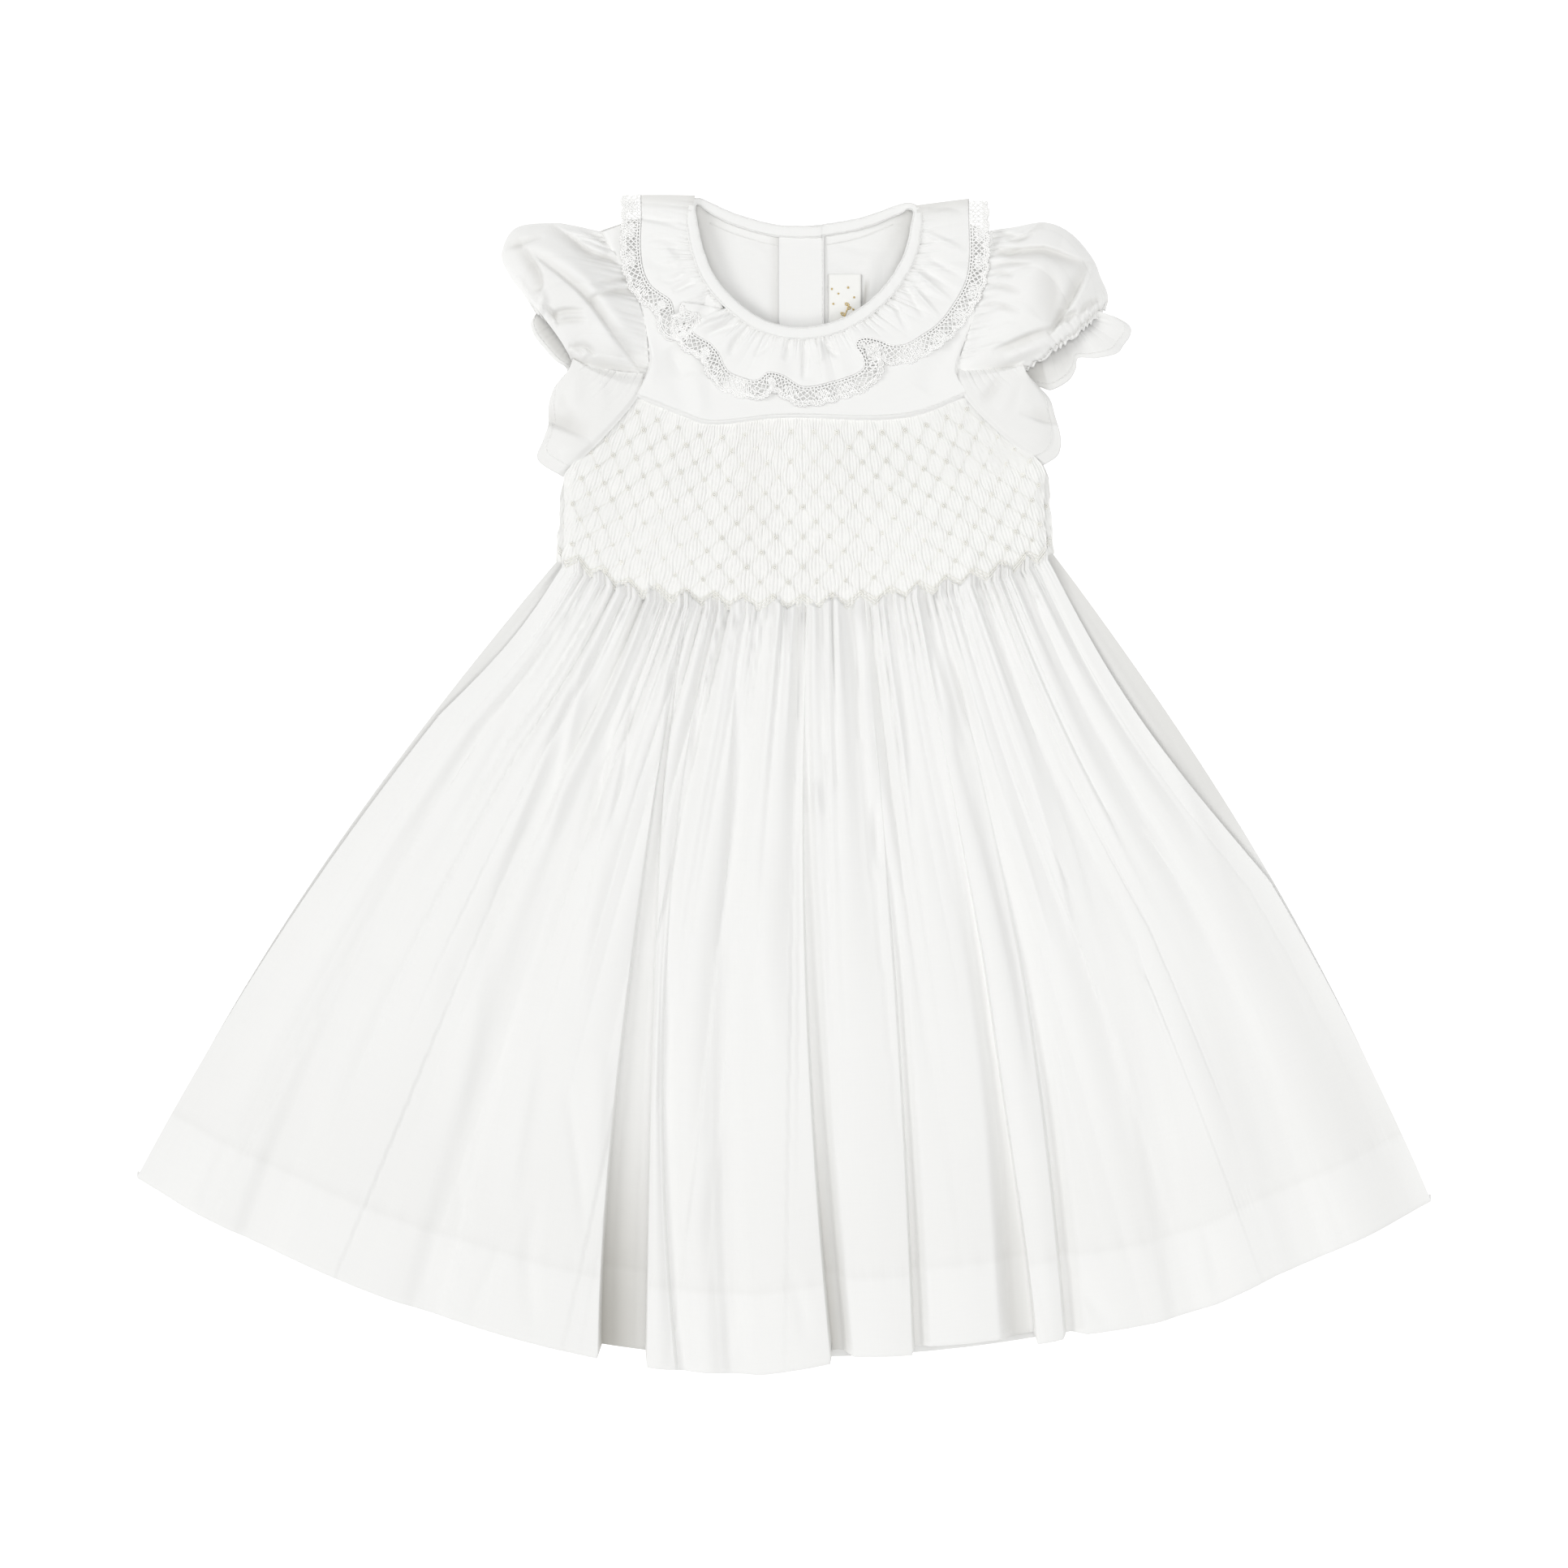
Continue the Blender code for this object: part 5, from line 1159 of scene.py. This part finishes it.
path = smooth_line(BINDING, np.linspace(0, 1, BINDING_ROWS))
centre, width = path[:, :3], path[:, 3]
run = np.gradient(centre, axis=0)
aside = unit(np.stack([run[:, 1], -run[:, 0], 0 * width], axis=-1))
upright = unit(np.cross(aside, run))
angle = np.linspace(1.5 * np.pi - 0.12, -0.5 * np.pi + 0.12, BINDING_COLUMNS)[None, :]
place = np.arange(BINDING_ROWS)[:, None]
wrinkle = 0.045 * np.sin(place * 0.55 + 2.2 * np.sin(place * 0.11) + 2.6 * np.cos(angle))
wide = np.sign(np.cos(angle)) * np.abs(np.cos(angle)) ** 0.8
tall = np.sign(np.sin(angle)) * np.abs(np.sin(angle)) ** 0.6 * 0.72
dip = 1 - 0.22 * np.exp(-(((np.abs(np.cos(angle)) - 0.78) / 0.12) ** 2))
grid = (
    centre[:, None]
    + aside[:, None] * (wide * width[:, None] / 2 * (1 + 0.5 * wrinkle))[..., None]
    + upright[:, None] * ((tall * dip + wrinkle) * BINDING_THICK / 2)[..., None]
)
lay_cloth("neck_binding_band", "neck_binding", grid, white_lawn, (13.0, 250.0))
on_top = centre + upright * (BINDING_THICK * 0.345)
seams = [on_top + aside * (width * reach)[:, None] for reach in (-0.40, 0.40)]

# Collar ruffle ----------------------------------------------------------------------------------
# A strip of lawn gathered into the binding. It falls over the yoke in soft flutes, and here and there
# its edge doubles over.

# Where the ruffle leaves the binding, from the left shoulder to the right, and its free edge: the
# share along the binding, its place and how high it stands. It doubles back where the collar folds.
COLLAR_NECK = (
    (-40.4, 252.6), (-42.2, 246.0), (-42.6, 238.0), (-41.6, 230.0), (-39.0, 222.0), (-35.4, 213.6),
    (-31.4, 207.6), (-26.2, 202.4), (-20.6, 197.8), (-13.8, 193.8), (-6.4, 191.0), (0.8, 189.6),
    (8.6, 189.4), (16.6, 190.4), (24.4, 192.4), (32.6, 196.2), (39.4, 200.4), (45.8, 205.8),
    (51.2, 212.6), (56.0, 220.6), (59.2, 229.6), (60.2, 239.2), (59.0, 248.6),
)
COLLAR_EDGE = (
    (0.000, -61.6, 253.0, 0.0), (0.085, -61.4, 241.7, 0.9), (0.130, -61.8, 231.0, 0.3),
    (0.171, -60.6, 221.0, 1.2), (0.197, -57.6, 214.6, 0.4), (0.213, -53.6, 211.2, 0.6),
    (0.234, -48.6, 207.4, 1.0), (0.259, -47.2, 201.6, 0.6), (0.275, -45.8, 197.8, 0.4),
    (0.279, -44.4, 199.6, 1.6), (0.283, -44.8, 204.0, 2.6), (0.287, -42.8, 206.4, 2.8),
    (0.291, -40.4, 203.0, 2.4), (0.295, -40.6, 197.6, 1.4), (0.306, -38.6, 193.4, 1.0),
    (0.323, -34.8, 190.9, 1.8), (0.340, -31.2, 188.7, 2.2), (0.360, -28.0, 184.8, 2.0),
    (0.376, -26.2, 180.6, 1.2), (0.392, -23.6, 176.9, 0.6), (0.411, -19.0, 174.8, 0.3),
    (0.432, -13.2, 173.2, 0.6), (0.442, -9.9, 174.3, 1.4), (0.448, -7.6, 176.4, 2.0),
    (0.462, -4.0, 176.4, 2.0), (0.480, 0.4, 175.0, 1.5), (0.497, 4.4, 172.4, 0.8),
    (0.510, 8.0, 170.6, 0.3), (0.530, 13.6, 170.9, 0.5), (0.555, 20.2, 172.5, 0.6),
    (0.580, 26.6, 174.4, 0.4), (0.599, 31.6, 176.4, 0.8), (0.613, 34.3, 179.0, 1.4),
    (0.619, 33.4, 183.6, 1.8), (0.623, 30.8, 187.6, 2.4), (0.630, 31.9, 190.6, 2.8),
    (0.648, 35.9, 191.4, 2.6), (0.663, 41.0, 190.4, 2.0), (0.674, 46.4, 188.4, 1.2),
    (0.692, 52.4, 188.9, 0.6), (0.717, 58.6, 192.2, 0.4), (0.749, 66.2, 197.6, 1.2),
    (0.786, 72.6, 205.6, 0.4), (0.829, 78.0, 215.6, 1.4), (0.872, 79.8, 226.4, 0.4),
    (0.923, 79.6, 238.6, 0.9), (1.000, 79.4, 251.4, 0.0),
)
RUFFLE_NECK_TOP, RUFFLE_EDGE_TOP, RUFFLE_SWELL, UNDER_BINDING, YOKE_TOP = 8.6, 7.15, 0.8, 2.4, 6.95
RUFFLE_COLUMNS, RUFFLE_ROWS, RUFFLE_BACK_COLUMNS, RUFFLE_BACK_ROWS = 800, 34, 120, 14
RUFFLE_CREASES = [
    (-1.4, 1.2, 2.5, (-68.9, 244.1), (-58.4, 242.7), (-45.1, 240.3)),
    (-1, 1.6, 1.6, (-61.9, 232.9), (-54.2, 234.3), (-45.1, 231.9)),
    (-1, 2.5, 1.5, (-58.4, 225.2), (-51.4, 222.4), (-42.3, 225.9)),
    (1.2, 2, 2, (-52.8, 230.8), (-48.6, 226.6), (-44.4, 222.4)),
    (-1.2, 1.6, 1.6, (-54.2, 217.5), (-47.9, 216.1), (-40.9, 220.3)),
    (-1.4, 1.4, 1.8, (-47.9, 211.2), (-42.3, 214), (-37.4, 216.8)),
    (1.8, 1.8, 1.4, (-40.2, 193), (-32.5, 197.2), (-22, 200.7)),
    (-1.6, 3, 3, (-35.3, 200.7), (-32.5, 205.6), (-33.2, 211.9)),
    (-1.4, 1.4, 1.4, (-34.6, 192.3), (-26.9, 195.1), (-19.2, 197.9)),
    (-1.5, 1.6, 1.6, (-23.4, 183.9), (-20.6, 189.5), (-15.7, 195.1)),
    (-2.2, 1.2, 2.2, (9.4, 190.9), (9.1, 182.2), (8.4, 173.1)),
    (-1.8, 1.2, 1.6, (17.8, 190.9), (19.9, 186.7), (22.8, 182.9)),
    (1.3, 1.6, 1.6, (14.3, 189.5), (15.7, 183.9), (13.6, 180.4)),
    (1.3, 1.2, 1.2, (60.5, 236.4), (68.2, 232.9), (78, 228.4)),
    (-1.1, 1.4, 1.4, (61.2, 226.6), (68.2, 222.4), (78, 217.2)),
    (1.4, 1.1, 1.1, (54.9, 221), (63.3, 214), (72.4, 207)),
    (-0.9, 1.2, 1.2, (57, 223.1), (65.5, 216.8), (73.8, 211.2)),
    (1.4, 1.1, 1.1, (53.5, 215.4), (59.8, 207.7), (66.8, 200)),
    (-1.1, 1.3, 1.3, (50.8, 214.7), (55.6, 207.7), (60.5, 199.3)),
    (-1.1, 1.4, 1.4, (45.8, 209.8), (50.8, 199.3), (53.5, 193.7)),
    (-1.2, 1.4, 2, (61.9, 246.2), (70.3, 247.6), (77.3, 245.5)),
    (-1, 1.2, 1.2, (1, 189.5), (1.8, 185.3), (-0.3, 181.8)),
    (-1, 1.4, 1.4, (-5.9, 192.3), (-8, 187.4), (-12.9, 183.9)),
]

shares = np.linspace(0, 1, 61)
neck_curve = smooth_line(COLLAR_NECK, shares)
edge = smooth_line(COLLAR_EDGE, np.linspace(0, 1, RUFFLE_COLUMNS))
across, edge = edge[:, 0], edge[:, 1:] + np.array([0.0, 0.0, RUFFLE_EDGE_TOP])
neck = lifted(np.stack([np.interp(across, shares, axis) for axis in neck_curve.T], axis=-1), RUFFLE_NECK_TOP)
neck[:, :2] += unit((neck - edge)[:, :2]) * UNDER_BINDING
out = np.linspace(0, 1, RUFFLE_ROWS)
s, t = np.meshgrid(across, out)
grid = between(neck[None], edge[None], t[..., None])
flutes = 1.3 * gather_heights(s, t, 0.0105, 0.85, 61) + 1.3 * gather_heights(s, t, 0.024, 1.7, 62)
flutes += 0.5 * t * np.sin(s * 118 + 3 * np.sin(s * 23))
ends = ease(s / 0.02) * ease((1 - s) / 0.02)
creases = crease_heights(grid[..., :2], RUFFLE_CREASES)
grid[..., 2] += RUFFLE_SWELL * np.sin(np.pi * t) + ends * (1 - 0.45 * t) * flutes + creases * (1.4 - 0.6 * t)
grid[..., 2] -= 1.4 * np.exp(-(((s - 0.286) / 0.012) ** 2)) * (1 - ease(t / 0.3))
grid[..., 2] = np.maximum(grid[..., 2], YOKE_TOP)
lip = grid[-1] + (grid[-2] - grid[-1]) * 0.8 - np.array([0.0, 0.0, 0.3])
# Shade painted into the colour along the binding and at both shoulder ends.
painted_shade = 0.10 * np.exp(-((t / 0.10) ** 2))
painted_shade += 0.25 * np.exp(-((s / 0.03) ** 2)) + 0.25 * np.exp(-(((s - 1) / 0.03) ** 2))
lay_cloth("collar_ruffle_cloth", "collar_ruffle", np.vstack([grid, lip[None]]), white_lawn, (320.0, 19.0),
          painted_shade=np.vstack([painted_shade, painted_shade[-1:]]))

# Round the back of the neck the ruffle goes on flat, between the back yoke and the surface.
BACK_COLLAR = {
    "left": (((-45.0, 243.6), (-35.0, 241.0), (-21.0, 235.4), (-6.0, 232.4)),
             ((-60.6, 226.0), (-47.0, 221.0), (-30.0, 214.2), (-7.0, 209.0))),
    "right": (((20.0, 232.2), (33.0, 234.6), (50.0, 240.6), (62.0, 241.6)),
              ((21.0, 209.0), (40.0, 212.4), (60.0, 219.6), (76.0, 226.6))),
}
lace_edges = [("collar_lace", edge + (grid[-1] - edge) * 0.9)]
s, t = np.meshgrid(np.linspace(0, 1, RUFFLE_BACK_COLUMNS), np.linspace(0, 1, RUFFLE_BACK_ROWS))
for side, (neck_line, edge_line) in BACK_COLLAR.items():
    back_neck, back_edge = (smooth_line(line, s[0]) for line in (neck_line, edge_line))
    flat = between(back_neck[None], back_edge[None], t[..., None])
    grid = lifted(flat, 0.8 + 0.35 * gather_heights(s, t, 0.05, 1.6, 65) + 0.15 * np.sin(40 * s))
    name = f"collar_ruffle_back_{side}"
    lay_cloth(name + "_cloth", name, grid, white_lawn, (65.0, 21.0))
    lace_edges.append((f"collar_lace_back_{side}", grid[-1]))

# Lace -------------------------------------------------------------------------------------------
# Cotton bobbin lace, 8 mm wide, sewn to the edge of the ruffle: a footing, a net of rounded holes, a
# leaf worked close in every repeat, and a scalloped edge with picots.

LACE_WIDTH, LACE_GAP, LACE_DROOP, LACE_THREAD = 8.4, 0.1, 0.3, 0.00040
NET, NET_LINES, REPEAT, SCALLOP, PICOT = 2.3, 4, 11.4, 5.7, 1.14
FOOTING_LOW, FOOTING_HIGH = 0.15, 1.25
EDGE_POINTS, EDGE_KNOTS, SMOOTHED = 700, 190, 31


def lace_pattern(length):
    """The lace laid out flat: lines of (along, across) in millimetres."""
    lines = []
    even = np.arange(0, length, 0.6)
    for height in (FOOTING_LOW, FOOTING_HIGH):
        lines.append(np.stack([even, height + 0.08 * np.sin(even * 3.4)], axis=-1))
    for start in np.arange(0, length, 1.5):
        lines.append(np.array([(start, FOOTING_LOW), (start + 0.2, FOOTING_HIGH)]))
    ripple = np.arange(0, length, NET / 6)
    for number in range(NET_LINES):
        swing = 0.62 * np.cos(2 * np.pi * ripple / NET + np.pi * number)
        lines.append(np.stack([ripple, 1.95 + 1.28 * number + swing], axis=-1))
    for start in np.arange(REPEAT * 0.4, length - 4, REPEAT):
        for offset in np.linspace(-2.9, 2.9, 9):
            tall = 1.9 * math.sqrt(1 - (offset / 3.2) ** 2)
            lines.append(np.array([(start + offset, 4.1 - tall), (start + offset + 0.5, 4.1 + tall)]))
    arch = np.abs(np.sin(np.pi * even / SCALLOP)) ** 0.8
    for depth, height in ((0.7, 6.15), (1.2, 6.75), (1.35, 7.35)):
        lines.append(np.stack([even, height + depth * (arch - 0.5)], axis=-1))
    for start in np.arange(0, length, PICOT):
        base = 5.8 + 0.7 * abs(math.sin(math.pi * start / SCALLOP))
        lines.append(np.array([(start, base - 0.3), (start + 0.3, base + 1.5)]))
    for start in np.arange(0.4, length - 1, PICOT):
        base = 6.95 + 1.2 * abs(math.sin(math.pi * (start + 0.35) / SCALLOP)) ** 0.8
        loop = np.linspace(np.pi, 0, 5)
        lines.append(np.stack([start + 0.35 + 0.4 * np.cos(loop), base + 0.6 * np.sin(loop)], axis=-1))
    return [line for line in lines if len(line) > 1]


# The lace threads glow a little: painted light in place of the light that gets through them.
lace_cotton = make_thread_finish("cotton_lace_thread", (0.95, 0.948, 0.935), 4200.0, painted_glow=0.10)
for name, edge in lace_edges:
    edge = smooth_line(edge[:: max(len(edge) // EDGE_KNOTS, 1)], np.linspace(0, 1, EDGE_POINTS))
    run = np.gradient(edge, axis=0)
    away = np.stack([run[:, 1], -run[:, 0]], axis=-1)
    kernel = np.hanning(SMOOTHED) / np.hanning(SMOOTHED).sum()
    padded = np.pad(away, ((SMOOTHED // 2, SMOOTHED // 2), (0, 0)), mode="edge")
    away = unit(np.stack([np.convolve(axis, kernel, mode="valid") for axis in padded.T], axis=-1))
    lift, lowest = 0.35, YOKE_TOP
    if "back" in name:
        away = away if away[:, 1].mean() < 0 else -away
        lift, lowest = 0.0, 0.35
    travel = np.concatenate([[0], np.cumsum(np.linalg.norm(np.diff(edge, axis=0), axis=1))])
    lines = []
    for line in lace_pattern(travel[-1]):
        along, out = np.clip(line[:, 0], 0, travel[-1]), line[:, 1]
        base, reach = (
            np.stack([np.interp(along, travel, axis) for axis in values.T], axis=-1)
            for values in (edge, away)
        )
        flutter = lift * np.sin(along / 4.7 + 2 * np.sin(along / 19)) - LACE_DROOP
        flat = base[:, :2] + unit(reach) * (LACE_GAP + 0.97 * out)[:, None]
        lines.append(lifted(flat, np.maximum(base[:, 2] + flutter * out / LACE_WIDTH, lowest)))
    lace = grow(name + "_threads", "cotton_lace", lines, thread_tree,
                Radius=LACE_THREAD, Sides=3, Material=lace_cotton)
    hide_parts(name)

# Stitching --------------------------------------------------------------------------------------
# White machine stitches in fine cotton: along both edges of the binding, the yoke seam, the placket's
# edge, the collar seam inside the back of the neck and the frill hems.


def make_stitch_tree():
    """Short rounded stitches laid end to end along lines, with a small gap between them."""
    tree, inputs, node = new_tree(
        "machine_stitch", {"Stitch": "Float", "Pitch": "Float", "Thread": "Float", "Material": "Material"}
    )
    lines = node("GeometryNodeMeshToCurve", {}, {"Mesh": inputs["Geometry"]})
    points = node("GeometryNodeCurveToPoints", {"mode": "LENGTH"},
                  {"Curve": lines, "Length": inputs["Pitch"]})
    half = node("ShaderNodeMath", {"operation": "MULTIPLY"}, {0: inputs["Stitch"], 1: 0.5})
    back = node("ShaderNodeMath", {"operation": "MULTIPLY"}, {0: half, 1: -1.0})
    ends = [node("ShaderNodeCombineXYZ", {}, {"Z": reach}) for reach in (back, half)]
    bar = node("GeometryNodeCurvePrimitiveLine", {}, {"Start": ends[0], "End": ends[1]})
    ring = node("GeometryNodeCurvePrimitiveCircle", {}, {"Resolution": 5, "Radius": inputs["Thread"]})
    stitch = node("GeometryNodeCurveToMesh", {}, {"Curve": bar, "Profile Curve": ring, "Fill Caps": True})
    sewn = node("GeometryNodeInstanceOnPoints", {},
                {"Points": points, "Instance": stitch, "Rotation": points.node.outputs["Rotation"]})
    finish_tree(node, sewn, inputs["Material"])
    return tree


white_thread = make_thread_finish("white_sewing_thread", (0.90, 0.90, 0.885), 6000.0)
stitch_tree = make_stitch_tree()
STITCH_THREAD, FROM_SEAM, FROM_EDGE = 0.00014, 1.0, 1.5
SEAM_TOP, PLACKET_STITCHES_TOP, NECK_INSIDE_TOP = 6.72, 4.45, 3.75
seam_line = lifted(smooth_line(YOKE_SEAM, np.linspace(0, 1, 80)) + np.array([0.0, FROM_SEAM]), SEAM_TOP)
placket_edge = PLACKET_RIGHT - FROM_EDGE
placket_line = smooth_line(((placket_edge, PLACKET_TOP), (placket_edge, PLACKET_FOOT)), np.linspace(0, 1, 20))
NECK_INSIDE = ((-31.0, 241.0), (-21.0, 236.6), (-4.0, 232.0), (14.0, 231.6), (32.0, 235.0), (46.0, 240.6))
neck_inside = lifted(smooth_line(NECK_INSIDE, np.linspace(0, 1, 60)), NECK_INSIDE_TOP)
for name, lines, length, pitch in (
    ("binding_stitches", seams, 1.5, 2.0),
    ("yoke_stitches", [seam_line, lifted(placket_line, PLACKET_STITCHES_TOP), neck_inside], 1.8, 2.3),
    ("frill_stitches", hem_paths, 1.5, 2.0),
):
    grow(name, "white_lawn", lines, stitch_tree,
         Stitch=length * MM, Pitch=pitch * MM, Thread=STITCH_THREAD, Material=white_thread)


# Cut of each cloth ------------------------------------------------------------------------------
# The size in millimetres of what shows of each piece of cloth, as it was cut before it was gathered
# or folded, its area where the cut isn't a rectangle, and the threads worked on it.

CLOTH_CUTS = (
    ("skirt_back_cloth", 600, 345, 181000, "gathered", "table_top", ()),
    ("skirt_front_cloth", 600, 345, 181000, "gathered", "skirt_back", ()),
    ("smocking_back_cloth", 330, 85, 24400, "gathered", "table_top",
     ("smocking_back_knots", "smocking_back_lattice", "smocking_back_waves")),
    ("smocking_front_cloth", 330, 85, 24400, "gathered", "smocking_back",
     ("smocking_front_knots", "smocking_front_lattice", "smocking_front_waves")),
    ("yoke_back_left_cloth", 84, 90, 5400, "laid", "collar_ruffle_back_left", ()),
    ("yoke_back_right_cloth", 84, 90, 5500, "laid", "collar_ruffle_back_right", ()),
    ("placket_under_cloth", 19.8, 77.6, None, "folded", "yoke_back_right", ()),
    ("placket_over_cloth", 22.8, 77.6, None, "folded", "placket_under", ()),
    ("neck_label_tape", 17.2, 31.2, None, "folded", "yoke_back_right", ("label_sprig", "label_dots")),
    ("yoke_front_cloth", 170, 98, 9200, "laid", "yoke_back_left", ("yoke_stitches",)),
    ("sleeve_left_puff", 160, 55, None, "gathered", "table_top", ()),
    ("sleeve_right_puff", 160, 55, None, "gathered", "table_top", ()),
    ("frill_back_left_cloth", 110, 30, 1750, "gathered", "table_top", ()),
    ("frill_back_right_cloth", 110, 30, 1750, "gathered", "table_top", ()),
    ("frill_front_left_cloth", 46, 40, None, "gathered", "smocking_front", ()),
    ("frill_front_right_cloth", 46, 40, None, "gathered", "smocking_front", ("frill_stitches",)),
    ("neck_binding_band", 13, 250, None, "folded", "yoke_front", ("binding_stitches",)),
    ("collar_ruffle_cloth", 320, 19, None, "gathered", "yoke_front", ("collar_lace_threads",)),
    ("collar_ruffle_back_left_cloth", 65, 21, None, "gathered", "table_top",
     ("collar_lace_back_left_threads",)),
    ("collar_ruffle_back_right_cloth", 65, 21, None, "gathered", "table_top",
     ("collar_lace_back_right_threads",)),
)

for cloth, width, length, area, held, under, worked in CLOTH_CUTS:
    length * MM
    list(worked)

# Surface, light and camera ----------------------------------------------------------------------
# A white table lit from within, under soft, even studio light, seen from straight above.

TABLE_HALF, TABLE_BELOW = 3.0, 0.0004
corners = ((-1, -1), (1, -1), (1, 1), (-1, 1))
table = bpy.data.meshes.new("table_top")
table.from_pydata([(x * TABLE_HALF, y * TABLE_HALF, -TABLE_BELOW) for x, y in corners], [], [(0, 1, 2, 3)])
floor = bpy.data.objects.new("table_top", table)
bpy.context.scene.collection.objects.link(floor)
paint, shade, shader = new_material("white_table", {
    "Roughness": 0.9, "Specular IOR Level": 0.1,
    "Emission Color": (1.0, 1.0, 1.0, 1.0), "Emission Strength": 0.85,
})
speckle = shade.node("ShaderNodeTexNoise", {}, {"Scale": 40.0, "Detail": 2.0})
plug(speckle.colour_between((0.40, 0.40, 0.40), (0.44, 0.44, 0.44)), shader, "Base Color")
table.materials.append(paint)

# Each light's direction round the dress and its height above it, in degrees, and its strength.
LIGHTS = {
    "light_left": (172.0, 36.0, 0.80),
    "light_right": (0.0, 42.0, 0.36),
    "light_above": (90.0, 86.0, 0.70),
    "light_hem_side": (-90.0, 48.0, 0.46),
}
LIGHT_SPREAD, SKY_STRENGTH = 24.0, 0.50
for name, (azimuth, above, strength) in LIGHTS.items():
    lamp = bpy.data.lights.new(name, "SUN")
    lamp.angle = math.radians(LIGHT_SPREAD)
    lamp.energy = strength
    azimuth, above = math.radians(azimuth), math.radians(above)
    level = math.cos(above)
    place = Vector((level * math.cos(azimuth), level * math.sin(azimuth), math.sin(above)))
    holder = bpy.data.objects.new(name, lamp)
    holder.location = place
    holder.rotation_euler = place.to_track_quat("Z", "Y").to_euler()
    bpy.context.scene.collection.objects.link(holder)

world = bpy.data.worlds.new("studio")
world.use_nodes = True
sky = world.node_tree.nodes["Background"]
sky.inputs["Color"].default_value = (1.0, 1.0, 1.0, 1.0)
sky.inputs["Strength"].default_value = SKY_STRENGTH
bpy.context.scene.world = world
bpy.context.scene.view_settings.view_transform = "Standard"

FOCAL_LENGTH, SENSOR_WIDTH, CAMERA_HEIGHT = 85.0, 36.0, 1.597
lens = bpy.data.cameras.new("camera")
lens.lens = FOCAL_LENGTH
lens.sensor_width = SENSOR_WIDTH
camera = bpy.data.objects.new("camera", lens)
camera.location = (0.0, 0.0, CAMERA_HEIGHT)
bpy.context.scene.collection.objects.link(camera)
bpy.context.scene.camera = camera
